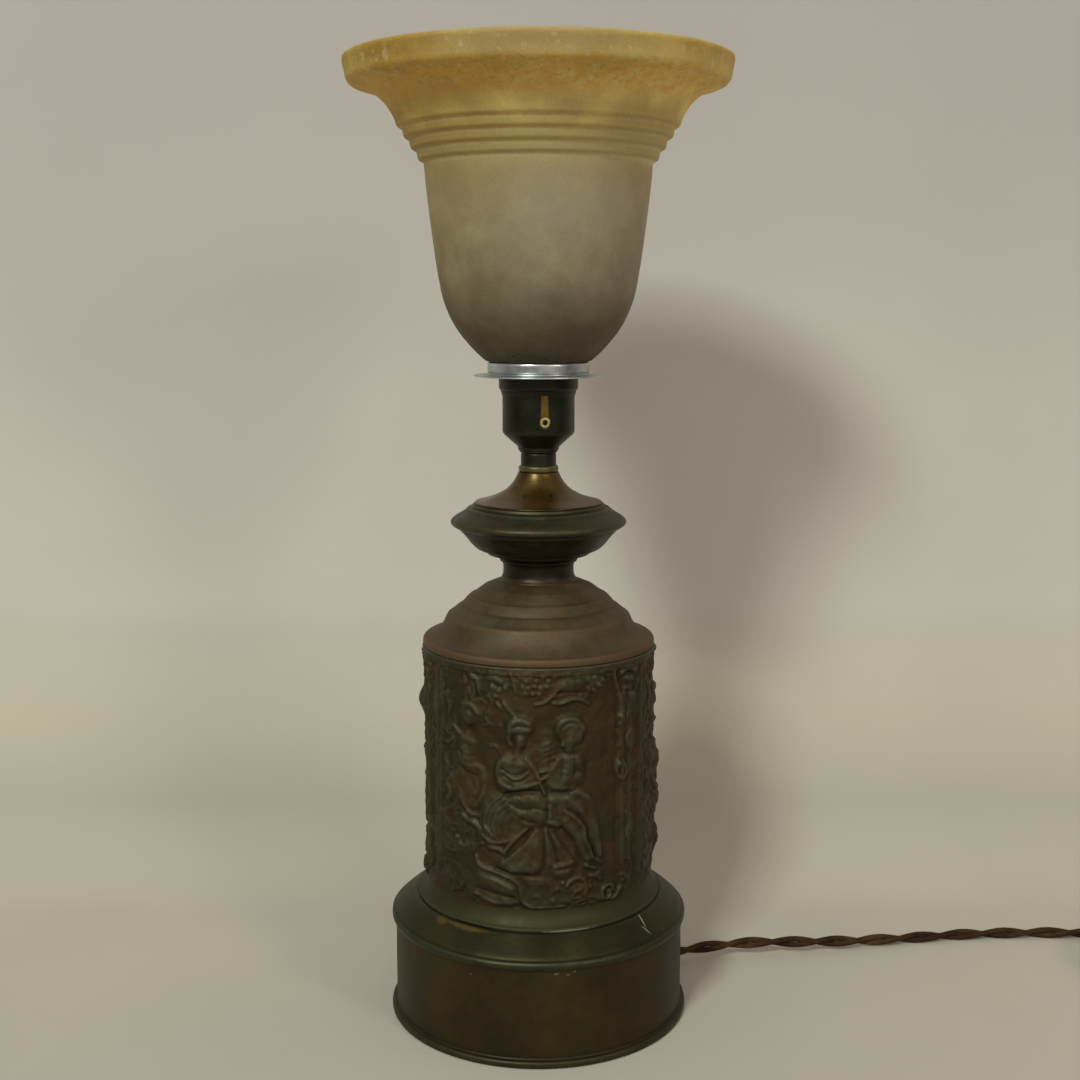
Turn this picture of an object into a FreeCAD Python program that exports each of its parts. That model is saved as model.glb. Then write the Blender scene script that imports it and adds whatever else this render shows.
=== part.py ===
import FreeCAD, Part
import math
import os

os.makedirs("parts", exist_ok=True)

# Figural table lamp: a spun base, an embossed drum, a stack of turned pieces on one threaded
# pipe, and a glass torch shade on an electric socket. Millimetres, +Z up, standing on Z = 0,
# with the lamp's axis on the Z axis. The front is -Y, and angles round the lamp are counted
# from the front towards +X.

# Fits
thread_gap = 0.05  # radial gap that stands for a screw thread or a snug hole
slip_gap = 0.25  # between pieces that slide past each other
rest_gap = 0.2  # under a piece that lifts off its seat
sheet = 1.2  # spun sheet metal

# Base
base_radius = 78.8
base_height = 55.4
bead_radius = 2.0
bead_stand = 2.7  # foot bead beyond the wall
lip_stand = 2.1  # cover's rolled lip beyond the wall
skirt_depth = 2.8
cover_rise = 11.6
felt_thickness = 1.5
plate_thickness = 1.2
ballast_radius = 52.0
ballast_thickness = 12.0

# Drum
drum_radius = 62.0
drum_wall = 1.4
drum_height = 138.0
drum_foot_stand = 4.2
drum_foot_thickness = 1.4
drum_cove_height = 9.0
border_height = 4.6
border_stand = 0.8
relief_stand = 1.0  # height of all the relief, as a multiple of the heights listed with it
pilaster_angles = (-58.0, 47.0, 174.5)
pilaster_radius = 4.2
pilaster_stand = 2.0

# Dome and the turned stack above it
dome_height = 34.4
dome_rim_stand = 0.9
dome_rim_height = 2.9
neck_radius = 18.9
neck_foot_stand = 1.6
neck_height = 15.0
neck_wall = 2.0
bowl_foot_radius = 27.8
bowl_radius = 42.4
bowl_height = 13.0
saucer_radius = 46.9
saucer_height = 13.0
cap_radius = 33.9
cap_height = 16.8
cap_top_radius = 10.8
check_height = 3.6
coupling_radius = 9.35
coupling_height = 7.9

# Threaded pipe and its lower nut
pipe_radius = 4.9
pipe_bore_radius = 3.5
pipe_tail = 4.0  # pipe below the nut
washer_radius = 14.0
washer_thickness = 1.6
nut_across_flats = 16.0
nut_thickness = 5.0

# Socket
husk_radius = 19.05
husk_wall = 0.9
husk_neck_radius = 10.3
husk_shoulder_height = 9.5
husk_height = 38.9
husk_collar_stand = 1.85
husk_collar_height = 7.0
socket_radius = 17.9
socket_wall = 0.8
socket_stand = 23.4  # threaded brass shell above the husk
switch_angle = 10.7
switch_height = 15.8  # above the underside of the husk
switch_radius = 2.7
switch_bore_radius = 1.4
keyhole_radius = 3.3
key_slot_width = 4.4
key_slot_height = 14.0
liner_wall = 0.7
insulator_height = 22.0
bulb_cap_radius = 13.1
screw_shell_wall = 0.5
contact_radius = 4.0
contact_thickness = 2.0
terminal_radius = 2.4
terminal_spacing = 19.0

# Shade holder, glass shade and the ring that clamps it
brim_radius = 34.2
holder_radius = 26.8
holder_height = 7.8
holder_wall = 0.8
holder_shelf = 4.8
glass_wall = 4.0
glass_hole_radius = 20.0
glass_foot_radius = 27.6
bell_radius = 58.8
bell_height = 100.7
step_count = 4
step_run = 3.6
step_rise = 5.6
step_nose = 1.85
last_step = 4.4
flare_height = 18.9
rim_radius = 99.8
rim_band = 11.6
rim_inset = 2.3
ring_flange_radius = 22.5
ring_flange = 2.0
ring_height = 7.5
ring_wall = 1.8

# Bulb
bulb_radius = 30.0
bulb_length = 108.0
bulb_cap_height = 23.5
bulb_cap_wall = 0.3
bulb_tip_height = 3.7
bulb_glass_wall = 0.8
stem_radius = 3.0
stem_height = 30.0
filament_radius = 0.5
filament_width = 18.0
filament_rise = 22.0

# Cord, its bushing and its plug
cord_radius = 3.25
exit_angle = 117.2
exit_height = 9.5
bushing_flange_radius = 4.9
bushing_flange = 1.2
bushing_wall = 0.85
bushing_stand = 1.6
inner_route = ((0.0, 25.0), (36.0, 13.0), (58.0, 9.7))  # distance from the axis, height
lead_route = (
    (83.6, 43.0, 8.8), (103.0, 52.0, 7.6), (128.0, 55.5, 8.6), (157.0, 57.6, 7.8), (187.0, 64.5, 5.2),
    (222.0, 72.5, 3.4), (262.0, 79.5, 3.3), (303.0, 81.5, 3.3), (341.0, 80.6, 3.3), (364.0, 78.6, 3.3),
)
coil_centre = (373.0, 31.0)
coil_turns_per_layer = 3
coil_layers = 2
coil_mid_radius = 37.5
tail_route = ((420.2, 24.0, 9.7), (420.4, 8.0, 9.3), (421.2, -7.0, 8.6))
plug_radius = 13.0
plug_thickness = 17.0
plug_length = 22.0
plug_neck_length = 12.0
plug_neck_radius = 5.4
plug_socket_depth = 5.0
blade_length = 16.5
blade_width = 6.3
blade_thickness = 1.5
blade_spacing = 12.7

# Heights that follow from the sizes above
cover_web = base_height + cover_rise
drum_top = cover_web + drum_height
dome_top = drum_top + dome_height
neck_top = dome_top + neck_height
bowl_top = neck_top + bowl_height
saucer_top = bowl_top + saucer_height
cap_top = saucer_top + cap_height
check_top = cap_top + check_height
coupling_top = check_top + coupling_height
husk_top = coupling_top + husk_height
holder_top = husk_top + holder_height
shade_foot = holder_top + rest_gap
bell_top = shade_foot + bell_height
steps_top = bell_top + (step_count - 1) * step_rise + last_step
flare_top = steps_top + flare_height
rim_top = flare_top + rim_band
ballast_foot = cover_web - sheet - ballast_thickness
nut_top = ballast_foot - washer_thickness
pipe_foot = nut_top - nut_thickness - pipe_tail
husk_floor = coupling_top + husk_wall + 0.2
socket_foot = coupling_top + husk_shoulder_height + 1.4
socket_top = husk_top + socket_stand
switch_level = coupling_top + switch_height
switch_start = socket_radius - 10.0
insulator_top = socket_foot + insulator_height
contact_top = insulator_top + contact_thickness
bulb_foot = contact_top + rest_gap
pipe_hole_radius = pipe_radius + thread_gap
pipe_top = husk_floor + 5.7
terminal_thickness = 1.8
bulb_cap_foot = bulb_foot + bulb_tip_height

# Directions
origin = FreeCAD.Vector(0, 0, 0)
up = FreeCAD.Vector(0, 0, 1)


def outward(angle):
    return FreeCAD.Vector(math.sin(math.radians(angle)), -math.cos(math.radians(angle)), 0)


def around(angle, radius, height):
    return outward(angle) * radius + up * height


def between(start, end, shares):
    # points from start to end, each at its own share of the way in radius and in height
    return [(start[0] + (end[0] - start[0]) * u, start[1] + (end[1] - start[1]) * v) for u, v in shares]


def parallel(points, gap):
    # a line beside the given one, to its left, at the same distance everywhere
    def left(a, b):
        length = math.hypot(b[0] - a[0], b[1] - a[1])
        return (a[1] - b[1]) / length, (b[0] - a[0]) / length

    sides = [left(a, b) for a, b in zip(points, points[1:])]
    moved = []
    for here, before, after in zip(points, sides[:1] + sides, sides + sides[-1:]):
        stretch = gap / (1 + before[0] * after[0] + before[1] * after[1])
        moved.append((here[0] + (before[0] + after[0]) * stretch, here[1] + (before[1] + after[1]) * stretch))
    return moved


def turned(start, *moves, sweep=360, angle=0):
    # a solid turned round the Z axis. A move of one point is a straight line, a move of two
    # is an arc through the first, and a longer move is a smooth curve through all its points.
    here, edges = FreeCAD.Vector(start[0], 0, start[1]), []
    first = here
    for move in moves:
        points = [here] + [FreeCAD.Vector(r, 0, z) for r, z in move]
        if len(points) == 2:
            edges.append(Part.makeLine(*points))
        elif len(points) == 3:
            edges.append(Part.Arc(*points).toShape())
        else:
            curve = Part.BSplineCurve()
            curve.interpolate(points)
            edges.append(curve.toShape())
        here = points[-1]
    if here.distanceToPoint(first) > 1e-6:
        edges.append(Part.makeLine(here, first))
    face = Part.Face(Part.Wire(edges))
    face.rotate(origin, up, angle - 90)
    return face.revolve(origin, up, sweep)


def corners(*points):
    return [[point] for point in points]


def ring(inner, outer, foot, top):
    return turned((inner, foot), *corners((outer, foot), (outer, top), (inner, top)))


def disc(radius, foot, top):
    return turned((0, foot), *corners((radius, foot), (radius, top), (0, top)))


def radial_rod(angle, height, radius, start, end):
    return Part.makeCylinder(radius, end - start, around(angle, start, height), outward(angle))


def radial_bar(angle, width, foot, top, start, end):
    bar = Part.makeBox(width, end - start, top - foot, FreeCAD.Vector(-width / 2, -end, foot))
    bar.rotate(origin, up, angle)
    return bar


def route_wire(points):
    # straight runs joined by tangent arcs, each arc as large as its two runs allow
    points = [FreeCAD.Vector(*point) for point in points]
    edges, here, radii = [], points[0], []
    for before, corner, after in zip(points, points[1:], points[2:]):
        into, out = (corner - before), (after - corner)
        half_turn = into.getAngle(out) / 2
        reach = 0.45 * min(into.Length, out.Length)
        into.normalize()
        out.normalize()
        start, end = corner - into * reach, corner + out * reach
        radius = reach / math.tan(half_turn)
        middle_way = (out - into).normalize()
        middle = corner + middle_way * (radius / math.cos(half_turn) - radius)
        edges += [Part.LineSegment(here, start).toShape(), Part.Arc(start, middle, end).toShape()]
        here = end
        radii.append(radius)
    edges.append(Part.LineSegment(here, points[-1]).toShape())
    return Part.Wire(edges), radii


def tube(points, radius, label):
    wire, radii = route_wire(points)
    way = FreeCAD.Vector(*points[1]) - FreeCAD.Vector(*points[0])
    section = Part.Wire(Part.Circle(FreeCAD.Vector(*points[0]), way, radius).toShape())
    solid = wire.makePipeShell([section], True, False)
    share = solid.Volume / (math.pi * radius**2 * wire.Length)
    print(f"{label}: {wire.Length:.0f} mm, arcs of {', '.join(f'{r:.0f}' for r in radii)} mm, "
          f"volume {share:.4f} of section times length")
    return solid


def save(node, shape):
    if len(shape.Solids) == 1:
        shape = shape.Solids[0]
    shape.exportStep(f"parts/{node}.step")


# ---- Base ----

def make_base():
    wall_inside = base_radius - sheet
    bead_middle = base_radius + bead_stand - bead_radius
    shell = turned(
        (wall_inside, 0), [(bead_middle, 0)],
        [(bead_middle + bead_radius, bead_radius), (bead_middle, 2 * bead_radius)],
        *corners((base_radius, 2 * bead_radius), (base_radius, base_height), (wall_inside, base_height)),
    )
    hole = radial_rod(exit_angle, exit_height, cord_radius + bushing_wall + 2 * thread_gap,
                      wall_inside - 3, base_radius + 3)
    save("base_shell", shell.cut(hole))

    lip = (base_radius + lip_stand, base_height)
    shoulder = (base_radius + lip_stand - 0.8, base_height + 1.3)
    web_edge = (drum_radius + drum_foot_stand + 1.4, cover_web - 0.4)
    slope = between(shoulder, web_edge, ((0, 0), (0.22, 0.25), (0.47, 0.5), (0.74, 0.76), (1, 1)))
    under = parallel(slope, sheet)
    skirt_inside = base_radius + thread_gap
    save("base_cover", turned(
        (skirt_inside, base_height - skirt_depth), [(skirt_inside + sheet, base_height - skirt_depth)],
        [(lip[0] - 0.25, base_height - skirt_depth * 0.4), lip],
        [(lip[0] - 0.1, base_height + 0.8), shoulder],
        slope[1:],
        *corners((web_edge[0], cover_web), (pipe_hole_radius, cover_web), (pipe_hole_radius, cover_web - sheet),
                 (under[-1][0] - sheet, cover_web - sheet)),
        under[::-1][:-1],
        *corners((wall_inside - sheet, base_height), (skirt_inside, base_height)),
    ))
    save("felt_pad", disc(wall_inside - 1.6, 0, felt_thickness))
    save("bottom_plate", disc(wall_inside - 2 * thread_gap, felt_thickness, felt_thickness + plate_thickness))
    save("ballast_disc", ring(pipe_hole_radius, ballast_radius, ballast_foot, ballast_foot + ballast_thickness))


# ---- Embossed drum ----

# Each boss: angle, height, half width, half height, stand above the wall, tilt. The heights are
# those of a drum that starts at relief_foot and is relief_span tall, and stretch with the drum.
# The scene is a seated lady and her companion under a garland, with a child at the left.
relief_foot = 67.0
relief_span = 138.0
lady = (
    (-8, 167, 3.6, 5.0, 3.2, 0), (-8, 174, 4.6, 3.0, 2.6, 8), (-11.5, 152, 5.4, 8.0, 2.8, 10),
    (-9, 143.5, 7.0, 2.2, 3.2, -8), (-6.5, 133, 8.5, 7.5, 3.2, -15), (-17, 118, 6.5, 15.0, 2.6, 28),
    (-4, 108, 8.5, 13.5, 2.4, 0), (-30, 119, 8.0, 3.4, 1.8, -25),
)
companion = (
    (16, 168, 4.2, 5.4, 3.2, 0), (13.5, 152.5, 5.6, 9.0, 2.8, 0), (19, 147.5, 2.4, 7.0, 3.0, -12),
    (4.7, 158, 4.6, 6.0, 1.6, 20), (15, 134, 9.0, 5.0, 3.0, 0), (21.5, 117, 4.4, 15.0, 2.6, -14),
    (28.5, 97.5, 4.2, 2.2, 2.4, 0),
)
child = ((-35, 179.5, 4.4, 5.0, 2.6, 0), (-35.5, 164, 4.2, 8.0, 2.2, 0), (-31.5, 146, 3.4, 9.0, 1.8, -15))
ground = (
    (-19.5, 94, 13.0, 6.0, 2.4, 12), (-41, 97, 3.6, 12.0, 1.6, -8), (11.7, 99.5, 4.0, 3.6, 2.0, 0),
    (20, 89.5, 5.0, 4.2, 1.8, 0),
)
garland = tuple(
    (-28 + 8.2 * k, 196 + (2.5 if k % 2 else 0), 4.6, 3.4 - 0.3 * (k % 3), 1.9, 0) for k in range(7)
)
capital_boss = (196, 6.2, 6.4, 2.8, 0)
panel_edges = (-52.0, 41.0)
panel_turns = (0.0, 117.5, -117.5)


def boss(angle, height, half_width, half_height, stand, tilt):
    depth = stand * relief_stand + drum_wall / 2
    shape = Part.makeSphere(1.0)
    stretch = FreeCAD.Matrix()
    stretch.scale(half_width, depth, half_height)
    shape = shape.transformGeometry(stretch)
    shape.rotate(origin, FreeCAD.Vector(0, 1, 0), tilt)
    level = cover_web + (height - relief_foot) * drum_height / relief_span
    shape.translate(FreeCAD.Vector(0, -(drum_radius - drum_wall / 2), level))
    shape.rotate(origin, up, angle)
    return shape


def drum_sector(start, end):
    inside = drum_radius - drum_wall
    foot = (drum_radius + drum_foot_stand, cover_web + drum_foot_thickness)
    wall_foot = (drum_radius, cover_web + drum_cove_height)
    border_foot = drum_top - border_height
    return turned(
        (inside, cover_web), [(foot[0], cover_web)], [foot],
        [between(foot, wall_foot, ((0.72, 0.4),))[0], wall_foot],
        *corners((drum_radius, border_foot), (drum_radius + border_stand, border_foot + border_stand),
                 (drum_radius + border_stand, drum_top), (inside, drum_top)),
        sweep=end - start, angle=start,
    )


def pilaster(angle):
    foot, top = cover_web + drum_cove_height + 6, drum_top - border_height - 2
    middle = drum_radius + pilaster_stand * relief_stand - pilaster_radius
    shaft = Part.makeCylinder(pilaster_radius, top - foot, around(angle, middle, foot))
    scroll = radial_rod(angle - 6, foot + 3, 4.4, drum_radius - drum_wall / 2,
                        drum_radius + pilaster_stand * relief_stand)
    capital = boss(angle, *capital_boss)
    return [shaft, scroll, capital]


def make_drum():
    panel = drum_sector(*panel_edges).multiFuse([boss(*b) for b in lady + companion + child + ground + garland])
    hollow = disc(drum_radius - drum_wall, cover_web, drum_top)
    panel = panel.cut(hollow)
    pieces = []
    for turn in panel_turns:
        copy = panel.copy()
        copy.rotate(origin, up, turn)
        pieces.append(copy)
    edges = [(panel_edges[0] + turn, panel_edges[1] + turn) for turn in panel_turns]
    gaps = ((edges[0][1], edges[1][0]), (edges[1][1], edges[2][0] + 360), (edges[2][1], edges[0][0]))
    for start, end in gaps:
        inside = [a for a in pilaster_angles for a in (a, a + 360) if start < a < end]
        sector = drum_sector(start, end)
        pieces.append(sector.multiFuse(pilaster(inside[0])) if inside else sector)
    save("drum_shell", pieces[0].multiFuse(pieces[1:]))


# ---- Dome and turned stack ----

dome_shares = (
    (0.012, 0.096), (0.073, 0.137), (0.157, 0.204), (0.23, 0.28), (0.272, 0.35), (0.319, 0.452),
    (0.366, 0.496), (0.437, 0.566), (0.479, 0.606), (0.526, 0.659), (0.582, 0.726), (0.629, 0.773),
    (0.728, 0.848), (0.793, 0.901), (0.88, 0.945), (0.94, 0.971),
)


def make_stack():
    inside = drum_radius - drum_wall
    rim = drum_radius + dome_rim_stand
    neck_foot = neck_radius + neck_foot_stand
    steps = between((rim - 0.9, drum_top), (neck_foot, dome_top), dome_shares)
    under = parallel(steps[1::2], sheet + thread_gap * 4)
    save("dome_cover", turned(
        (inside, drum_top), [(rim - 1, drum_top)], [(rim, drum_top + dome_rim_height / 2), steps[0]],
        steps[1:5], *corners(steps[5]), steps[6:9], *corners(steps[9]), *corners(*steps[10:12]), steps[12:],
        *corners((neck_foot + 0.3, dome_top), (pipe_hole_radius, dome_top), (pipe_hole_radius, dome_top - sheet),
                 (neck_foot - 0.5, dome_top - sheet), *under[::-1], (inside, drum_top + sheet)),
    ))

    waist = [(neck_foot, dome_top + 0.8), (neck_radius, dome_top + neck_height * 0.17)]
    column = between((neck_radius - 0.2, dome_top), (neck_radius + 1.2, neck_top),
                     ((0, 0.17), (0.1, 0.35), (0.5, 0.55), (1, 0.68)))
    flare = between(column[-1], (bowl_foot_radius, neck_top), ((0.15, 0.3), (0.5, 0.62), (1, 1)))
    inner = parallel([column[0], column[1], column[-1], flare[1], flare[2]], neck_wall)
    save("neck_spool", turned(
        (column[0][0] - neck_wall, dome_top), [(neck_foot, dome_top)], [waist[0]],
        [(neck_foot - 0.6, dome_top + 1.6), column[0]],
        column[1:], flare, *corners((inner[-1][0] - neck_wall, neck_top), *inner[::-1][1:]),
    ))

    bowl = between((bowl_foot_radius, neck_top), (bowl_radius, bowl_top),
                   ((0, 0), (0.38, 0.185), (0.6, 0.45), (0.72, 0.62), (1, 1)))
    hollow = parallel(bowl, sheet)
    save("neck_bowl", turned(
        (pipe_hole_radius, neck_top), [bowl[0]], bowl[1:],
        *corners((bowl_radius - sheet, bowl_top)), hollow[::-1][1:-1],
        *corners((bowl_foot_radius - sheet, neck_top + sheet), (pipe_hole_radius, neck_top + sheet)),
    ))

    lip = between((bowl_radius + 0.6, bowl_top), (saucer_radius, bowl_top + saucer_height * 0.25),
                  ((0, 0), (0.82, 0.6), (1, 1)))
    top_edge = (cap_radius + 0.8, saucer_top)
    crown = between(lip[-1], top_edge, ((0.03, 0.12), (0.2, 0.3), (0.44, 0.48), (0.8, 0.8), (1, 1)))
    hollow = parallel(crown[1:], sheet)
    save("neck_saucer", turned(
        (bowl_radius - sheet, bowl_top), [lip[0]], [lip[1]], [lip[2]], [crown[0]], crown[1:],
        *corners((pipe_hole_radius, saucer_top), (pipe_hole_radius, saucer_top - sheet),
                 (hollow[-1][0] - sheet, saucer_top - sheet), *hollow[::-1][1:]),
    ))

    cone = between((cap_radius, saucer_top + 1.1), (cap_top_radius, cap_top),
                   ((0, 0), (0.437, 0.166), (0.68, 0.35), (0.797, 0.497), (0.879, 0.637), (0.944, 0.777), (1, 1)))
    hollow = parallel(cone[1:], sheet)
    save("neck_cap", turned(
        (cap_radius - 2 * sheet, saucer_top), [(cap_radius, saucer_top)], [cone[0]], cone[1:],
        *corners((pipe_hole_radius, cap_top), (pipe_hole_radius, cap_top - sheet),
                 (hollow[-1][0] - thread_gap, cap_top - sheet)),
        hollow[::-1][1:],
    ))
    half = check_height / 2
    save("check_ring", turned(
        (pipe_hole_radius, cap_top), [(cap_top_radius - half / 3, cap_top)],
        [(cap_top_radius + half / 6, cap_top + half), (cap_top_radius - half / 3, check_top)],
        [(pipe_hole_radius, check_top)],
    ))
    save("neck_coupling", turned(
        (pipe_hole_radius, check_top), *corners((coupling_radius, check_top), (coupling_radius, coupling_top - 1.6)),
        [(coupling_radius + 0.2, coupling_top - 0.5), (husk_neck_radius - 0.1, coupling_top)],
        [(pipe_hole_radius, coupling_top)],
    ))


# ---- Pipe and its lower nut ----

def make_pipe():
    save("lamp_pipe", ring(pipe_bore_radius, pipe_radius, pipe_foot, pipe_top))
    save("pipe_washer", ring(pipe_hole_radius, washer_radius, nut_top, ballast_foot))
    corner = nut_across_flats / math.sqrt(3)
    points = [around(60 * k, corner, nut_top - nut_thickness) for k in range(7)]
    nut = Part.Face(Part.makePolygon(points)).extrude(up * nut_thickness)
    hole = Part.makeCylinder(pipe_hole_radius, nut_thickness, up * (nut_top - nut_thickness))
    save("pipe_nut", nut.cut(hole))


# ---- Socket ----

def make_socket():
    neck, shoulder = coupling_top + 1.7, coupling_top + husk_shoulder_height
    collar_foot = husk_top - husk_collar_height
    body = [(husk_neck_radius + 0.5, neck), (husk_radius, shoulder), (husk_radius, collar_foot)]
    hollow = parallel([(husk_neck_radius, coupling_top)] + body, husk_wall)
    collar = husk_radius + husk_collar_stand
    husk = turned(
        (pipe_hole_radius, coupling_top), [(husk_neck_radius, coupling_top)],
        *corners(*body[:2], (husk_radius, collar_foot - 3.4), (husk_radius + 0.8, collar_foot - 1)),
        [(husk_radius + 1.0, collar_foot), (collar, collar_foot + 1.1)],
        *corners((collar, husk_top - 0.8), (collar - 0.8, husk_top), (husk_radius - husk_wall, husk_top),
                 hollow[2], hollow[1], (hollow[1][0], husk_floor), (pipe_hole_radius, husk_floor)),
    )
    keyhole = radial_rod(switch_angle, switch_level, keyhole_radius, husk_radius - 2, husk_radius + 2)
    slot = radial_bar(switch_angle, key_slot_width, switch_level, switch_level + key_slot_height,
                      husk_radius - 2, husk_radius + 2)
    save("socket_husk", husk.cut(keyhole.fuse(slot)))

    brass_hollow = parallel(body, husk_wall + slip_gap)
    inner_cone = parallel(body, husk_wall + slip_gap + socket_wall)
    seat_inside = socket_radius - 2.0
    hub = pipe_hole_radius + 3.0
    save("socket_cap", turned(
        (pipe_hole_radius, husk_floor), [(brass_hollow[0][0] - 0.6, husk_floor)],
        *corners(brass_hollow[0], (socket_radius - 0.3, brass_hollow[1][1]), (socket_radius - 0.3, socket_foot),
                 (seat_inside, socket_foot), (seat_inside, inner_cone[1][1]), (inner_cone[0][0], inner_cone[0][1]),
                 (hub, inner_cone[0][1]), (hub, pipe_top), (pipe_hole_radius, pipe_top)),
    ))

    switch_hole = radial_rod(switch_angle, switch_level, switch_radius + slip_gap, 2, husk_radius)
    shell = ring(socket_radius - socket_wall, socket_radius, socket_foot, socket_top)
    save("socket_shell", shell.cut(switch_hole))
    flange = 1.6
    liner_outside = socket_radius - socket_wall - thread_gap
    liner = ring(liner_outside - liner_wall, liner_outside, socket_foot + flange, socket_top - 1)
    save("insulating_liner", liner.cut(switch_hole))

    block = liner_outside - liner_wall - slip_gap
    insulator = disc(liner_outside, socket_foot, socket_foot + flange).fuse(
        disc(block, socket_foot + flange, insulator_top))
    blind = radial_rod(switch_angle, switch_level, switch_radius + thread_gap, switch_start, husk_radius)
    insulator = insulator.cut(blind)
    screws = []
    for side in (-1, 1):
        place = FreeCAD.Vector(side * terminal_spacing / 2, 0, socket_foot)
        shank = Part.makeCylinder(terminal_radius / 2, 4.0, place)
        head = Part.makeCylinder(terminal_radius, terminal_thickness, place - up * terminal_thickness)
        insulator = insulator.cut(Part.makeCylinder(terminal_radius / 2 + thread_gap, 4.5, place))
        screws.append(head.fuse(shank))
    save("socket_insulator", insulator)
    save("terminal_screws", Part.makeCompound(screws))

    shell_inside = bulb_cap_radius + slip_gap
    shell_outside = shell_inside + screw_shell_wall
    save("screw_shell", turned(
        (contact_radius + 3, insulator_top),
        *corners((shell_outside, insulator_top), (shell_outside, socket_top - 1.5),
                 (shell_inside, socket_top - 1.5), (shell_inside, insulator_top + screw_shell_wall),
                 (contact_radius + 3, insulator_top + screw_shell_wall)),
    ))
    save("centre_contact", disc(contact_radius, insulator_top, contact_top))


def make_switch():
    start, end = switch_start + thread_gap, husk_radius - husk_wall / 2
    rod = radial_rod(switch_angle, switch_level, switch_radius, start, end)
    bore = radial_rod(switch_angle, switch_level, switch_bore_radius, end - 6, end)
    save("switch_spindle", rod.cut(bore))


# ---- Shade ----

def make_holder():
    hole = socket_radius + slip_gap
    floor = husk_top + holder_wall
    save("shade_holder", turned(
        (hole, husk_top),
        *corners((brim_radius, husk_top), (brim_radius, floor), (holder_radius, floor),
                 (holder_radius, holder_top), (holder_radius - holder_shelf, holder_top),
                 (holder_radius - holder_shelf, holder_top - holder_wall),
                 (holder_radius - holder_wall, holder_top - holder_wall),
                 (holder_radius - holder_wall, floor), (hole, floor)),
    ))


def make_shade():
    floor = shade_foot + glass_wall
    bell = between((glass_foot_radius, shade_foot), (bell_radius, bell_top),
                   ((0, 0), (0.173, 0.048), (0.413, 0.132), (0.58, 0.215), (0.715, 0.319), (0.801, 0.464),
                    (0.907, 0.709), (1, 1)))
    steps = []
    for k in range(step_count):
        r, z = bell_radius + k * step_run, bell_top + k * step_rise
        top = min(z + step_rise, steps_top)
        steps += [[(r + step_run * 0.85, z + step_nose)], [(r + step_run * 0.97, (z + step_nose + top) / 2), (r + step_run, top)]]
    steps_radius = bell_radius + step_count * step_run
    corner = (rim_radius - rim_inset, flare_top)
    flare = between((steps_radius, steps_top), (corner[0] - 2.2, flare_top - 1.6),
                    ((0, 0), (0.08, 0.24), (0.2, 0.45), (0.4, 0.68), (0.64, 0.87), (0.84, 0.96), (1, 1)))
    band = [corner, (rim_radius, rim_top - 1.6)]
    bell_hollow = parallel(bell, glass_wall)
    flare_hollow = parallel(flare, glass_wall)
    rim_inside = rim_radius - glass_wall
    inner_bell = [p for p in bell_hollow if p[1] > floor + 1.5]
    glass = turned(
        (glass_hole_radius, shade_foot), [bell[0]], bell[1:], *steps, flare[1:],
        [(corner[0] - 0.6, flare_top - 0.9), corner], [band[1]],
        [(rim_radius - 0.6, rim_top - 0.3), (rim_radius - 1.8, rim_top)],
        [(rim_inside + 0.6, rim_top - 0.3), (rim_inside - 0.4, rim_top - 1.6)],
        [(rim_inside - rim_inset, flare_top + glass_wall * 0.9)],
        [(rim_inside - rim_inset - 0.9, flare_top + glass_wall * 0.62), flare_hollow[-1]],
        flare_hollow[::-1][1:],
        [inner_bell[-1]], inner_bell[::-1][1:],
        *corners((inner_bell[0][0] - 2.5, floor), (glass_hole_radius, floor)),
    )
    save("glass_shade", glass)

    foot = floor + rest_gap
    bore = socket_radius + slip_gap / 2
    save("shade_ring", turned(
        (bore, foot),
        *corners((ring_flange_radius, foot), (ring_flange_radius, foot + ring_flange),
                 (bore + ring_wall, foot + ring_flange), (bore + ring_wall, foot + ring_height),
                 (bore, foot + ring_height)),
    ))


# ---- Bulb ----

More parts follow.
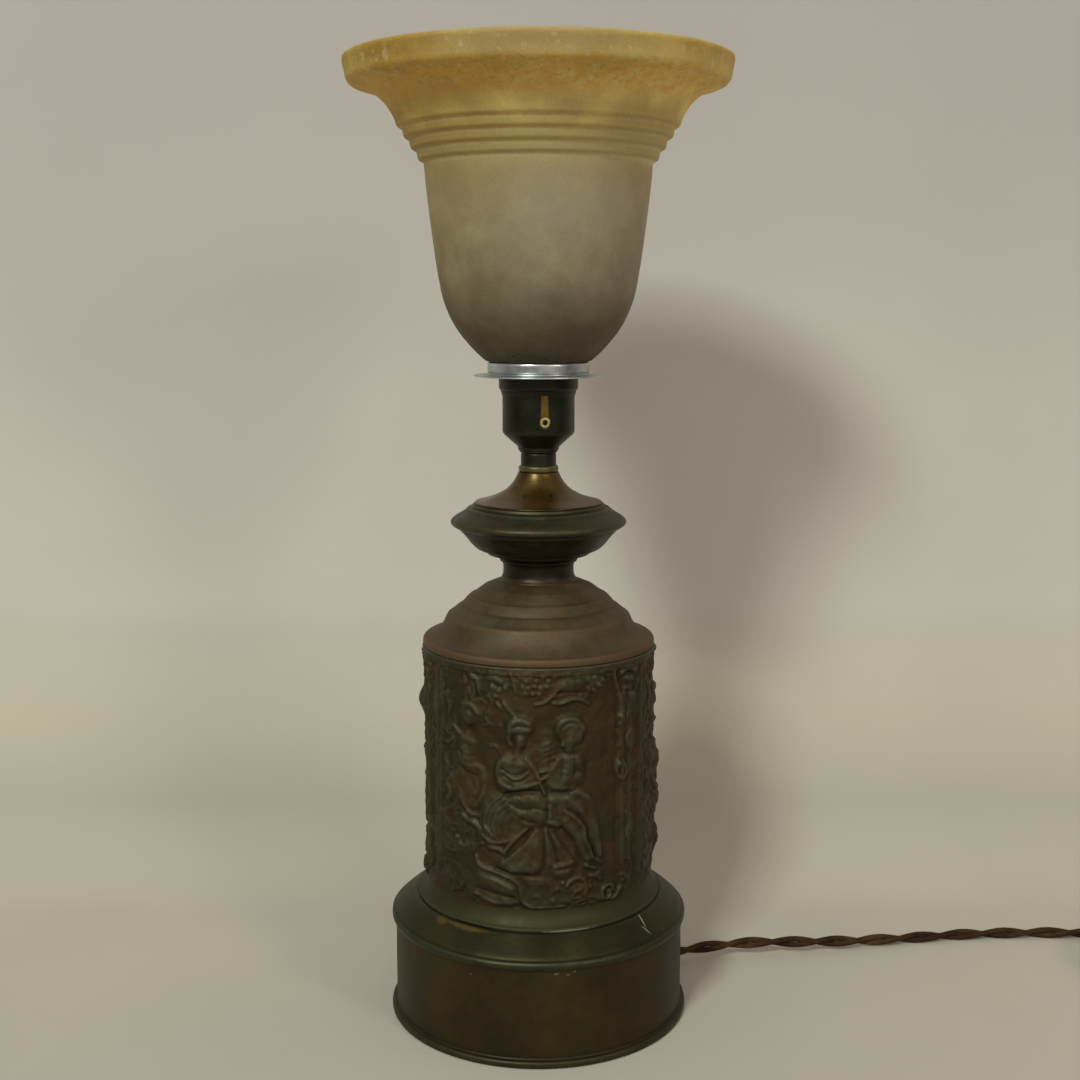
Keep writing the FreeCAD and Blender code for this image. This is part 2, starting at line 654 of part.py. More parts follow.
def make_bulb():
    cap_foot, cap_top_level = bulb_cap_foot, bulb_cap_foot + bulb_cap_height
    inside = bulb_cap_radius - bulb_cap_wall
    save("bulb_base", turned(
        (inside - 3, cap_foot), *corners((bulb_cap_radius, cap_foot), (bulb_cap_radius, cap_top_level),
                                         (inside, cap_top_level), (inside, cap_foot + bulb_cap_wall),
                                         (inside - 3, cap_foot + bulb_cap_wall)),
    ))
    save("bulb_contact", turned(
        (0, bulb_foot), *corners((contact_radius, bulb_foot), (contact_radius + 0.6, bulb_foot + 1),
                                 (inside - 2, cap_foot), (0, cap_foot)),
    ))
    neck = inside - bulb_cap_wall
    glass_foot, tip = cap_top_level - 7, bulb_foot + bulb_length
    widest = tip - bulb_radius
    stalk = between((neck, cap_top_level), (bulb_radius, widest),
                    ((0, 0), (0.1, 0.14), (0.36, 0.4), (0.72, 0.7), (0.94, 0.9), (1, 1)))
    hollow = parallel([(neck, glass_foot)] + stalk, bulb_glass_wall)
    globe, cavity = bulb_radius, bulb_radius - bulb_glass_wall
    slant = math.sqrt(0.5)
    save("bulb_envelope", turned(
        (neck, glass_foot), [stalk[0]], stalk[1:], [(globe * slant, widest + globe * slant), (0, tip)],
        [(0, tip - bulb_glass_wall)],
        [(cavity * slant, widest + cavity * slant), (cavity, widest)],
        hollow[1:-1][::-1], [hollow[0]],
    ))
    flare_foot = glass_foot + 0.8
    stem_top = flare_foot + stem_height
    save("bulb_stem", turned(
        (0, flare_foot), *corners((neck - bulb_glass_wall - slip_gap, flare_foot),
                                  (neck - bulb_glass_wall - slip_gap, flare_foot + 1.2),
                                  (stem_radius, flare_foot + 9), (stem_radius, stem_top), (0, stem_top)),
    ))
    legs = []
    for side in (-1, 1):
        leg_foot = FreeCAD.Vector(side * stem_radius * 0.6, 0, stem_top)
        leg_top = FreeCAD.Vector(side * filament_width / 2, 0, stem_top + filament_rise)
        legs.append(Part.makeCylinder(filament_radius, leg_foot.distanceToPoint(leg_top), leg_foot, leg_top - leg_foot))
    start = FreeCAD.Vector(-filament_width / 2 - 1, 0, stem_top + filament_rise - 0.3)
    wire = Part.makeCylinder(filament_radius, filament_width + 2, start, FreeCAD.Vector(1, 0, 0))
    trim = Part.makeBox(filament_width * 2, 8, filament_rise * 2, FreeCAD.Vector(-filament_width, -4, stem_top))
    save("bulb_filament", legs[0].fuse([legs[1], wire]).common(trim))


# ---- Cord ----

def make_cord():
    way = outward(exit_angle)
    mouth = base_radius + bushing_stand
    inner_points = [(0, 0, socket_foot)]
    inner_points += [tuple(way * distance + up * height) for distance, height in inner_route]
    inner_points.append(tuple(way * mouth + up * exit_height))
    save("inner_cord", tube(inner_points, cord_radius, "cord inside the lamp"))

    bore = cord_radius + 2 * thread_gap
    inner_face = base_radius - sheet - 0.3
    sleeve = radial_rod(exit_angle, exit_height, cord_radius + bushing_wall + thread_gap, inner_face, mouth)
    inner_flange = radial_rod(exit_angle, exit_height, bushing_flange_radius, inner_face - bushing_flange, inner_face)
    outer_flange = radial_rod(exit_angle, exit_height, bushing_flange_radius, base_radius + thread_gap, mouth)
    hole = radial_rod(exit_angle, exit_height, bore, inner_face - bushing_flange, mouth)
    save("cord_bushing", sleeve.fuse([inner_flange, outer_flange]).cut(hole))

    lead_points = [tuple(way * mouth + up * exit_height)] + list(lead_route)
    save("cord_lead", tube(lead_points, cord_radius, "cord from the base to the coil"))
    half_width = coil_turns_per_layer * cord_radius + cord_radius
    inner, outer = coil_mid_radius - half_width, coil_mid_radius + half_width
    height, corner = 2 * cord_radius * coil_layers, cord_radius
    turn = corner * (1 - math.sqrt(0.5))
    coil = turned(
        (inner + corner, 0), [(outer - corner, 0)], [(outer - turn, turn), (outer, corner)],
        [(outer, height - corner)], [(outer - turn, height - turn), (outer - corner, height)],
        [(inner + corner, height)], [(inner + turn, height - turn), (inner, height - corner)],
        [(inner, corner)], [(inner + turn, turn), (inner + corner, 0)],
    )
    coil.translate(FreeCAD.Vector(*coil_centre, 0))
    save("cord_coil", coil)
    save("cord_tail", tube(list(tail_route), cord_radius, "cord from the coil to the plug"))
    turns = coil_turns_per_layer * coil_layers + 0.25  # it leaves a quarter turn past where it came in
    print(f"coil: {turns} turns, {turns * 2 * math.pi * coil_mid_radius:.0f} mm of cord")
    make_plug()


def make_plug():
    end_x, end_y, axis_height = tail_route[-1]
    entry = end_y + plug_socket_depth - 0.5
    back = FreeCAD.Vector(0, -1, 0)
    neck = Part.makeCone(plug_neck_radius, plug_radius, plug_neck_length, FreeCAD.Vector(end_x, entry, axis_height), back)
    shoulder = entry - plug_neck_length
    body = Part.makeCylinder(plug_radius, plug_length, FreeCAD.Vector(end_x, shoulder, axis_height), back)
    face = shoulder - plug_length
    limits = Part.makeBox(2 * plug_radius, entry - face, plug_thickness,
                          FreeCAD.Vector(end_x - plug_radius, face, axis_height - plug_thickness / 2))
    socket = Part.makeCylinder(cord_radius + slip_gap, plug_socket_depth, FreeCAD.Vector(end_x, entry, axis_height), back)
    save("plug_body", neck.fuse(body).common(limits).cut(socket))
    blades = [
        Part.makeBox(blade_thickness, blade_length, blade_width,
                     FreeCAD.Vector(end_x + side * blade_spacing / 2 - blade_thickness / 2,
                                    face - blade_length, axis_height - blade_width / 2))
        for side in (-1, 1)
    ]
    save("plug_blades", Part.makeCompound(blades))


make_base()
make_drum()
make_stack()
make_pipe()
make_socket()
make_switch()
make_holder()
make_shade()
make_bulb()
make_cord()
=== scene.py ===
import math

import bmesh
import bpy
import numpy as np
from mathutils import Matrix, Vector, noise


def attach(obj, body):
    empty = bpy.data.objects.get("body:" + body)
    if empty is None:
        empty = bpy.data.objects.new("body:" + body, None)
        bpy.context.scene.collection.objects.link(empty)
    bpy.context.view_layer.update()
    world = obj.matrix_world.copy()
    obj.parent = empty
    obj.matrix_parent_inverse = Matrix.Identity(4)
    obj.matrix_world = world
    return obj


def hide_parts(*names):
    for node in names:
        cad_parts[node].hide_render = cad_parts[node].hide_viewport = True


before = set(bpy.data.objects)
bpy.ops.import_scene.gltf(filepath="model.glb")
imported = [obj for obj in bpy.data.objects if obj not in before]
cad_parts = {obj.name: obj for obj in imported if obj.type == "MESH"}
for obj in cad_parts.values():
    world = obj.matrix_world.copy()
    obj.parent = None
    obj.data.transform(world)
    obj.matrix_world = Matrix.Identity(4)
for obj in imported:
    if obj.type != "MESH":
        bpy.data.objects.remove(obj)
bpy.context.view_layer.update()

# Figural table lamp: an embossed metal drum on a round base, a turned neck and a glass torch shade.
# Lengths below are in millimetres, heights are above the table, and angles count from the front to the right.

mm = 0.001
scene = bpy.context.scene


# ---- Shapes ----

def section(points, step):  # a closed outline of (radius, height, rounding) corners as evenly spaced points
    outline = []
    count = len(points)
    for i, point in enumerate(points):
        corner = np.array(point[:2], float)
        reach = point[2] if len(point) > 2 else 0.25
        before = np.array(points[i - 1][:2], float) - corner
        after = np.array(points[(i + 1) % count][:2], float) - corner
        starts = corner + before * min(0.5, reach / max(np.hypot(*before), 1e-6))
        ends = corner + after * min(0.5, reach / max(np.hypot(*after), 1e-6))
        way = np.hypot(*(starts - corner)) + np.hypot(*(ends - corner))
        pieces = max(2, math.ceil(way / min(step, 0.35 + way / 8)))
        for t in np.linspace(0, 1, pieces + 1):
            outline.append(starts * (1 - t) ** 2 + corner * 2 * t * (1 - t) + ends * t * t)
    even = []
    for here, after in zip(outline, outline[1:] + outline[:1]):
        gap = np.hypot(*(after - here))
        if gap < 0.01:
            continue
        runs = max(1, math.ceil(gap / step))
        even += [here + (after - here) * k / runs for k in range(runs)]
    return even


def beside(points, gap):  # a line at one distance from the given one, on its left
    points = [np.array(p[:2], float) for p in points]
    sides = []
    for a, b in zip(points, points[1:]):
        way = (b - a) / np.hypot(*(b - a))
        sides.append(np.array((-way[1], way[0])))
    moved = []
    for here, before, after in zip(points, sides[:1] + sides, sides + sides[-1:]):
        middle = before + after
        moved.append(here + middle * gap / (1 + before @ after))
    return [tuple(p) for p in moved]


def eased(points, reach):  # the same points with equal roundings
    return [(p[0], p[1], reach) for p in points]


def lining(side, picks, wall, reach):  # the inner face along some corners of the outer one, back downwards
    return eased(beside([side[k] for k in picks], wall)[::-1], reach)


def worn(outline, near=1.6):  # how far each point stands out of its surroundings, from -1 to 1
    line = np.array(outline)
    gaps = np.hypot(*(np.roll(line, -1, 0) - line).T)
    where = np.concatenate(([0], np.cumsum(gaps)))[:-1]
    total = gaps.sum()
    apart = np.abs(where[:, None] - where[None])
    apart = np.minimum(apart, total - apart)
    weight = np.exp(-(apart / near) ** 2) * gaps[None]
    smooth = weight @ line / weight.sum(1)[:, None]
    along = np.roll(line, -1, 0) - np.roll(line, 1, 0)
    along /= np.maximum(np.hypot(*along.T), 1e-9)[:, None]
    area = np.sum(line[:, 0] * np.roll(line[:, 1], -1) - np.roll(line[:, 0], -1) * line[:, 1])
    normal = np.stack((along[:, 1], -along[:, 0]), 1) * np.sign(area)
    return np.clip(((line - smooth) * normal).sum(1) / 0.28, -1, 1)


def spun(outline, steps, sweep=360.0, start=0.0):  # the outline turned round the Z axis, with its wear kept
    made = bmesh.new()
    layer = made.verts.layers.float.new("wear")
    first = math.radians(start - 90)
    verts = []
    for point, value in zip(outline, worn(outline)):
        out = point[0] * mm
        vert = made.verts.new((out * math.cos(first), out * math.sin(first), point[1] * mm))
        vert[layer] = value
        verts.append(vert)
    edges = [made.edges.new(pair) for pair in zip(verts, verts[1:] + verts[:1])]
    bmesh.ops.spin(
        made, geom=verts + edges, cent=(0, 0, 0), axis=(0, 0, 1), dvec=(0, 0, 0),
        angle=math.radians(sweep), steps=steps, use_merge=sweep > 359, use_duplicate=False,
    )
    if sweep < 359:
        bmesh.ops.holes_fill(made, edges=[e for e in made.edges if e.is_boundary], sides=0)
    bmesh.ops.remove_doubles(made, verts=made.verts, dist=2e-6)
    return made


def asObject(name, made):
    mesh = bpy.data.meshes.new(name)
    made.to_mesh(mesh)
    made.free()
    thing = bpy.data.objects.new(name, mesh)
    scene.collection.objects.link(thing)
    return thing


def finished(name, made, body, nodes, surface, sharp=38):  # a piece, with the nodes it stands for
    bmesh.ops.recalc_face_normals(made, faces=made.faces)
    piece = asObject(name, made)
    piece.data.shade_smooth()
    piece.data.set_sharp_from_angle(angle=math.radians(sharp))
    piece.data.materials.append(surfaces[surface])
    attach(piece, body)
    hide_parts(*nodes)
    return piece


def turned(name, plan, node, surface, body="lamp"):  # a lathe piece, with its dents and thread
    made = spun(section(plan["outline"], plan["step"]), plan["steps"])
    if "dent" in plan:
        wavy(made, *plan["dent"])
    if "thread" in plan:
        threaded(made, plan)
    if "facing" in plan:
        made.transform(facing(**plan["facing"]))
    return finished(name, made, body, (node,), surface)


def pushedOut(made, change):  # change(radius, place) says how far each vertex leaves the axis, in millimetres
    for vert in made.verts:
        p = vert.co / mm
        radius = math.hypot(p.x, p.y)
        share = 1 + change(radius, p) / radius if radius > 1 else 1
        vert.co = Vector((p.x * share, p.y * share, p.z)) * mm
    return made


def wavy(made, size, depth, seed, low=-1, high=1000):  # slow dents between two heights
    shift = Vector((seed * 7.3, seed * 3.1, seed * 5.7))
    return pushedOut(made, lambda radius, p: noise.noise(p / size + shift) * depth if low < p.z < high else 0)


def threaded(made, plan):  # sinks a helical groove into a tube's wall
    def change(radius, p):
        if p.z < plan["from"] or radius <= plan["crest"] - 1.5:
            return 0
        turn = p.z / plan["pitch"] - math.atan2(p.y, p.x) / (2 * math.pi)
        sink = plan["thread"] * (0.5 - 0.5 * math.cos(2 * math.pi * turn))
        return -sink * min(1, (p.z - plan["from"]) / 1.5)
    return pushedOut(made, change)


def pulled(made, grown, way):  # moves what an extrusion made
    bmesh.ops.translate(made, verts=[v for v in grown["geom"] if isinstance(v, bmesh.types.BMVert)], vec=way)


def cutAway(piece, cutter):  # takes the cutter's space out of the piece
    cut = piece.modifiers.new("cut", "BOOLEAN")
    cut.operation = "DIFFERENCE"
    cut.solver = "EXACT"
    cut.object = cutter
    view = bpy.context.evaluated_depsgraph_get()
    mesh = bpy.data.meshes.new_from_object(piece.evaluated_get(view))
    piece.modifiers.clear()
    old = piece.data
    piece.data = mesh
    bpy.data.meshes.remove(old)
    bpy.data.objects.remove(cutter)


def loose(name, made):  # a helper object that is removed again
    helper = asObject(name, made)
    bpy.context.view_layer.update()
    return helper


def facing(angle, distance, height):  # turns local Z to point outwards at that angle
    way = Vector((math.sin(math.radians(angle)), -math.cos(math.radians(angle)), 0))
    turn = way.to_track_quat("Z", "Y").to_matrix().to_4x4()
    return Matrix.Translation((way * distance + Vector((0, 0, height))) * mm) @ turn


def rod(radius, start, end, angle, height):  # a round bar that points outwards, used as a cutter
    made = bmesh.new()
    bmesh.ops.create_cone(made, cap_ends=True, segments=48, radius1=radius * mm, radius2=radius * mm,
                          depth=(end - start) * mm)
    made.transform(facing(angle, (start + end) / 2, height))
    return loose("rod", made)


# ---- Surfaces ----

def linear(code, strength=1.0):  # an sRGB hex colour as linear values
    parts = [int(code[i:i + 2], 16) / 255 for i in (1, 3, 5)]
    return [strength * (p / 12.92 if p <= 0.04045 else ((p + 0.055) / 1.055) ** 2.4) for p in parts] + [1.0]


def addNode(tree, kind, settings=None):  # a setting that is a socket is linked, the others are set
    node = tree.nodes.new("ShaderNode" + kind)
    for name, value in (settings or {}).items():
        if isinstance(value, bpy.types.NodeSocket):
            tree.links.new(value, node.inputs[name])
        elif isinstance(name, int) or name in node.inputs.keys():
            node.inputs[name].default_value = value
        else:
            setattr(node, name, value)
    return node


def ramp(tree, fac, stops):  # stops of (place, colour), a colour being a hex code or four values
    node = addNode(tree, "ValToRGB", {"Fac": fac})
    marks = node.color_ramp.elements
    while len(marks) < len(stops):
        marks.new(0.5)
    for mark, (place, colour) in zip(marks, stops):
        mark.position = place
        mark.color = linear(colour) if isinstance(colour, str) else colour
    return node.outputs["Color"]


def level(value):  # a grey for ramps that carry a number
    return (value, value, value, 1.0)


def mixed(tree, fac, a, b, blend="MIX"):
    colour = linear(b) if isinstance(b, str) else b
    node = addNode(tree, "Mix", {"data_type": "RGBA", "blend_type": blend, 0: fac, 6: a, 7: colour})
    return node.outputs[2]


def spread(tree, value, low, high, start, end):  # maps one range to another, held at both ends
    return addNode(tree, "MapRange", {0: value, 1: low, 2: high, 3: start, 4: end}).outputs[0]


def reckoned(tree, how, a, b=0.5):  # b has no part in sums of one value
    return addNode(tree, "Math", {"operation": how, 0: a, 1: b}).outputs[0]


def axisOf(tree, place, axis):
    return addNode(tree, "SeparateXYZ", {"Vector": place}).outputs[axis]


def stored(tree, name):  # a value stored on the mesh's points
    return addNode(tree, "Attribute", {"attribute_name": name}).outputs["Fac"]


def bumped(tree, height, strength, depth, under=None):  # depth in millimetres
    settings = {"Strength": strength, "Distance": depth * mm, "Height": height}
    if under:
        settings["Normal"] = under
    return addNode(tree, "Bump", settings).outputs[0]


def newSurface(name):
    material = bpy.data.materials.new(name)
    material.use_nodes = True
    tree = material.node_tree
    tree.nodes.clear()
    return material, tree, addNode(tree, "TexCoord").outputs["Object"]


def principled(tree, colour, rough, normal, others=None):
    settings = {"Base Color": colour, "Roughness": rough, **(others or {})}
    if normal:
        settings["Normal"] = normal
    return addNode(tree, "BsdfPrincipled", settings).outputs[0]


def done(material, tree, shader):
    addNode(tree, "OutputMaterial", {"Surface": shader})
    return material


def cloud(tree, place, size, detail, rough, stretch=(1, 1, 1), shift=0.0):  # noise of a size in mm
    if shift or stretch != (1, 1, 1):
        place = addNode(tree, "Mapping", {"Scale": stretch, "Location": (shift, shift, shift),
                                          "Vector": place}).outputs["Vector"]
    return addNode(tree, "TexNoise", {"Scale": 1 / (size * mm), "Detail": detail, "Roughness": rough,
                                      "Vector": place}).outputs["Fac"]


def between(tree, height, low, high, soft):  # 1 between two heights in millimetres
    up = spread(tree, height, (low - soft) * mm, (low + soft) * mm, 0.0, 1.0)
    down = spread(tree, height, (high - soft) * mm, (high + soft) * mm, 1.0, 0.0)
    return reckoned(tree, "MULTIPLY", up, down)


def banded(tree, place, body, bands):  # rings of another tone: low, high, softness, colour, strength
    height = axisOf(tree, place, "Z")
    uneven = cloud(tree, place, 11, 4, 0.6, shift=0.6)
    for low, high, soft, colour, strength in bands:
        share = spread(tree, uneven, 0.3, 0.6, strength * 0.4, strength)
        share = reckoned(tree, "MULTIPLY", share, between(tree, height, low, high, soft))
        body = mixed(tree, share, body, colour)
    return body


def marked(tree, place, body, marks):  # blots: angle, radius, height, half sizes, tilt, colour, strength
    ragged = cloud(tree, place, 1.5, 3, 0.6, shift=0.15)
    for angle, radius, height, across, up, tilt, colour, strength in marks:
        a = math.radians(angle)
        middle = (radius * mm * math.sin(a), -radius * mm * math.cos(a), height * mm)
        near = addNode(tree, "Mapping", {
            "vector_type": "TEXTURE", "Location": middle, "Rotation": (0, math.radians(tilt), a),
            "Scale": (across * mm, 9 * mm, up * mm), "Vector": place,
        }).outputs[0]
        far = addNode(tree, "VectorMath", {"operation": "LENGTH", 0: near}).outputs["Value"]
        far = reckoned(tree, "ADD", far, ragged)
        body = mixed(tree, spread(tree, far, 1.55, 1.05, 0.0, strength), body, colour)
    return body


usual = {  # what a patina has where its own values don't say otherwise, sizes in millimetres
    "shift": 0.0, "filmSize": 9, "filmStart": 0.5, "spot": 0.35, "spotSize": 1.6, "spotColour": "#15120b",
    "grime": 0.75, "grimeColour": "#14120c", "edge": 0.6, "edgeFrom": 0.12, "raised": 0, "bands": (),
    "marks": (), "turning": 1.6, "bump": 0.35, "lines": 0.2,
}


def patina(name, **given):  # old metal: stained body, film, spots, grime in hollows, worn edges, fine pits
    look = {**usual, **given}
    material, tree, place = newSurface(name)
    stain = cloud(tree, place, look["stain"], 5, 0.6, shift=look["shift"])
    body = ramp(tree, stain, list(zip((0.32, 0.5, 0.68), look["tones"])))
    film = cloud(tree, place, look["filmSize"], 6, 0.65, shift=0.31 + look["shift"])
    mask = ramp(tree, film, [(look["filmStart"], level(0)), (look["filmStart"] + 0.14, level(look["film"]))])
    body = mixed(tree, mask, body, look["filmColour"])
    spots = cloud(tree, place, look["spotSize"], 3, 0.5, shift=0.77)
    dots = ramp(tree, spots, [(0.3, level(look["spot"])), (0.42, level(0))])
    body = mixed(tree, dots, body, look["spotColour"])
    wear = stored(tree, "wear")
    if look["raised"]:
        proud = spread(tree, stored(tree, "raised"), 0.15, 0.95, 0.0, look["raised"])
        body = mixed(tree, proud, body, look["raisedColour"])
    body = mixed(tree, spread(tree, wear, -0.05, -0.6, 0.0, look["grime"]), body, look["grimeColour"])
    broken = spread(tree, cloud(tree, place, 5, 4, 0.6, shift=0.5), 0.35, 0.6, 0.35, 1.0)
    crest = spread(tree, wear, look["edgeFrom"], 0.8, 0.0, look["edge"])
    body = mixed(tree, reckoned(tree, "MULTIPLY", crest, broken), body, look["edgeColour"])
    body = marked(tree, place, banded(tree, place, body, look["bands"]), look["marks"])
    grain = cloud(tree, place, 0.5, 3, 0.6)
    lines = cloud(tree, place, 1.0, 2, 0.5, stretch=(0.04, 0.04, look["turning"]))
    pits = bumped(tree, grain, look["bump"], 0.12)
    lined = bumped(tree, lines, look["lines"], 0.1, pits)
    rough = spread(tree, stain, 0.3, 0.7, look["rough"] - 0.1, look["rough"] + 0.12)
    return done(material, tree, principled(tree, body, rough, lined, {"Metallic": look["metal"]}))


def plain(name, colour, rough, metal, mottle, size, bump=0.15):  # an even surface, finely pitted
    material, tree, place = newSurface(name)
    body = ramp(tree, cloud(tree, place, size, 5, 0.6),
                [(0.35, linear(colour, 1 - mottle)), (0.65, linear(colour, 1 + mottle))])
    height = cloud(tree, place, 0.6, 3, 0.6, shift=0.4)
    shine = spread(tree, height, 0.3, 0.7, rough - 0.06, rough + 0.08)
    pits = bumped(tree, height, bump, 0.1)
    return done(material, tree, principled(tree, body, shine, pits, {"Metallic": metal}))


surfaces = {
    # spun bronze-coloured brass sheet with a brown patina, rubbed on the wall
    "base": patina(
        "spunBrassBrownPatina", tones=("#2c2411", "#362c15", "#41361a"), stain=34, film=0.45, filmStart=0.54,
        filmColour="#30341f", filmSize=16, edgeColour="#3f412c", edge=0.3, rough=0.5, metal=0.72,
        grimeColour="#1d1b10", grime=0.4, turning=1.2,
        # the first three marks are painted highlights, small glints on the wall just under the cover's lip;
        # the fourth is a small pale speck
        marks=[(6.5, 81, 50.4, 1.6, 0.7, 0, "#75827a", 0.7), (11, 81, 49.6, 1.1, 0.6, 0, "#75827a", 0.6),
               (13.5, 81, 51, 0.8, 0.6, 0, "#75827a", 0.6), (-26, 81, 47, 0.5, 0.5, 0, "#8d9187", 0.6)]),
    # spun brass cover with a green-grey film
    "cover": patina(
        "spunBrassGreenPatina", tones=("#292611", "#302e17", "#3b381f"), stain=26, film=0.5, filmStart=0.46,
        filmColour="#2e351f", filmSize=12, edgeColour="#4c5344", edge=0.35, rough=0.47, metal=0.82,
        grimeColour="#1a1b12", shift=0.2,
        marks=[(-33, 69, 66.6, 14, 1.4, 0, "#65582a", 0.75), (-47, 70, 66, 5, 1.8, 0, "#65582a", 0.6),
               (51, 73, 65.6, 0.45, 4.2, 24, "#b9bcab", 0.85),
               (49, 77, 61.4, 0.4, 2.4, -30, "#b9bcab", 0.7)]),
    # pressed and chased copper sheet with a dark patina in the ground and rubbed high spots
    "drum": patina(
        "embossedCopperDarkPatina", tones=("#302a14", "#3b2e18", "#49351f"), stain=20, film=0.55,
        filmStart=0.48, filmColour="#353521", raised=0.64, raisedColour="#454532", edgeColour="#5a5b4a",
        edge=0.42, edgeFrom=0.06, rough=0.6, metal=0.7, grime=0.6, grimeColour="#120e06", spotSize=1.4,
        spot=0.2, lines=0.0, bump=0.3, shift=0.4,
        bands=[(66, 77, 0.8, "#373820", 0.85), (79, 103, 5, "#2b2314", 0.28)],
        marks=[(14, 66, 67.6, 15, 0.6, 0, "#a3a68f", 0.75), (-31, 66, 67.7, 16, 0.9, 0, "#0d0b07", 0.9)]),
    # spun copper dome, brown with olive stains and a redder rim rubbed on its edges; the lighter, redder band
    # on the rim's roll is partly its own tone and partly a painted highlight
    "dome": patina(
        "spunCopperOlivePatina", tones=("#463a26", "#54452f", "#60513a"), stain=24, film=0.6, filmStart=0.48,
        filmColour="#504e39", filmSize=12, edgeColour="#6c563a", edge=0.4, rough=0.62, metal=0.62,
        grimeColour="#2f2517", grime=0.34, shift=0.6, bands=[(204.5, 209.4, 0.4, "#5a432d", 0.65)],
        marks=[(23, 57, 214, 9, 5.5, 0, "#46301f", 0.55), (8, 60, 212, 4, 2.2, 0, "#46301f", 0.35)]),
    # cast neck, near-black olive; the lighter brown ring at the spool's foot is partly its own brown tone and
    # partly a painted highlight, the lower ring is reddish brown
    "neck": patina(
        "castBronzeOlivePatina", tones=("#1c1709", "#28210f", "#3a2e1a"), stain=14, film=0.5, filmStart=0.52,
        filmColour="#282c19", edgeColour="#4c442c", edge=0.4, rough=0.45, metal=0.7, shift=0.8,
        bands=[(238, 241.6, 0.7, "#4b3d27", 0.9), (256, 260.5, 1.5, "#382417", 0.6)]),
    # spun saucer with a dark green rim
    "saucer": patina(
        "spunBronzeGreenPatina", tones=("#302b17", "#3b3620", "#48412b"), stain=12, film=0.75, filmStart=0.48,
        filmColour="#2f3f2f", edgeColour="#57503a", edge=0.36, rough=0.45, metal=0.74, shift=1.0),
    # spun brass cap under old brown lacquer; the dark band along its lower edge is painted shade where it
    # meets the saucer
    "cap": patina(
        "lacqueredBrassBrown", tones=("#43310e", "#513e15", "#5c481c"), stain=20, film=0.35, filmStart=0.58,
        filmColour="#443a1c", edgeColour="#5b4a27", edge=0.1, bands=[(280.1, 281.7, 0.3, "#2b2414", 0.8)],
        spotSize=2.6, spot=0.3, rough=0.31, metal=0.7, shift=1.2,
        marks=[(20, 20, 286.6, 1.3, 0.9, 0, "#241707", 0.85), (-21, 21, 286.2, 1.1, 0.8, 0, "#241707", 0.8)]),
    # turned brass check ring, rubbed bright
    "check": patina(
        "turnedBrassDull", tones=("#453e21", "#544c2b", "#625935"), stain=10, film=0.3, filmColour="#3d381f",
        edgeColour="#6e6440", rough=0.4, metal=0.65),
    # drawn socket husk, blackened
    "husk": patina(
        "blackenedBrassHusk", tones=("#151609", "#1e1f0e", "#2a2818"), stain=18, film=0.5,
        filmColour="#212616", edgeColour="#343320", edge=0.5, rough=0.4, metal=0.6, shift=1.4),
    # drawn brass socket shell
    "brass": patina(
        "drawnBrassAged", tones=("#6a5728", "#836c36", "#9b844b"), stain=9, film=0.3, filmColour="#5d5029",
        edgeColour="#ab9460", rough=0.34, metal=0.85),
    # pale turned brass of the switch spindle
    "spindle": patina(
        "turnedBrassPale", tones=("#8d8053", "#a39664", "#b5a877"), stain=5, film=0.2, filmColour="#6f6540",
        edgeColour="#c5ba8c", rough=0.36, metal=0.7),
    # spun aluminium, satin
    "aluminium": patina(
        "spunAluminiumSatin", tones=("#a3a6a6", "#b4b7b7", "#c3c5c5"), stain=12, film=0.2,
        filmColour="#969a99", spot=0.06, spotColour="#7f8283", edgeColour="#d3d5d6", grimeColour="#707374",
        grime=0.5, rough=0.34, metal=0.85, lines=0.25, turning=2.4, bump=0.05),
    "steel": plain("zincPlatedSteel", "#8a8a86", 0.38, 0.85, 0.1, 5.0),  # plated steel sheet and pipe
    "iron": plain("castIronRaw", "#35322f", 0.7, 0.35, 0.2, 5.0, 0.6),  # rough grey cast iron
    "card": plain("fibreCard", "#6d4a30", 0.85, 0.0, 0.1, 4.0, 0.3),  # vulcanised fibre sheet
    "porcelain": plain("glazedPorcelain", "#d6d2c6", 0.25, 0.0, 0.05, 8.0, 0.05),  # fired and glazed
    "rubber": plain("mouldedRubberBlack", "#1c1b19", 0.62, 0.0, 0.15, 3.0, 0.3),  # moulded bushing
    "bakelite": plain("mouldedPhenolicBrown", "#3a2418", 0.34, 0.0, 0.18, 6.0, 0.1),  # pressed phenolic plug
    "capMetal": plain("drawnAluminiumCap", "#b2b1aa", 0.32, 0.85, 0.08, 3.0, 0.1),  # bulb cap
    "tungsten": plain("drawnTungsten", "#5f5d5a", 0.45, 0.8, 0.1, 2.0, 0.1),  # drawn wire
}


def feltSurface():  # pressed wool felt, dyed green
    material, tree, place = newSurface("pressedWoolFelt")
    fibres = cloud(tree, place, 0.35, 4, 0.7)
    body = ramp(tree, fibres, [(0.3, "#26382a"), (0.7, "#43563f")])
    fuzz = bumped(tree, fibres, 0.8, 0.25)
    return done(material, tree, principled(tree, body, 0.95, fuzz, {"Sheen Weight": 0.3}))


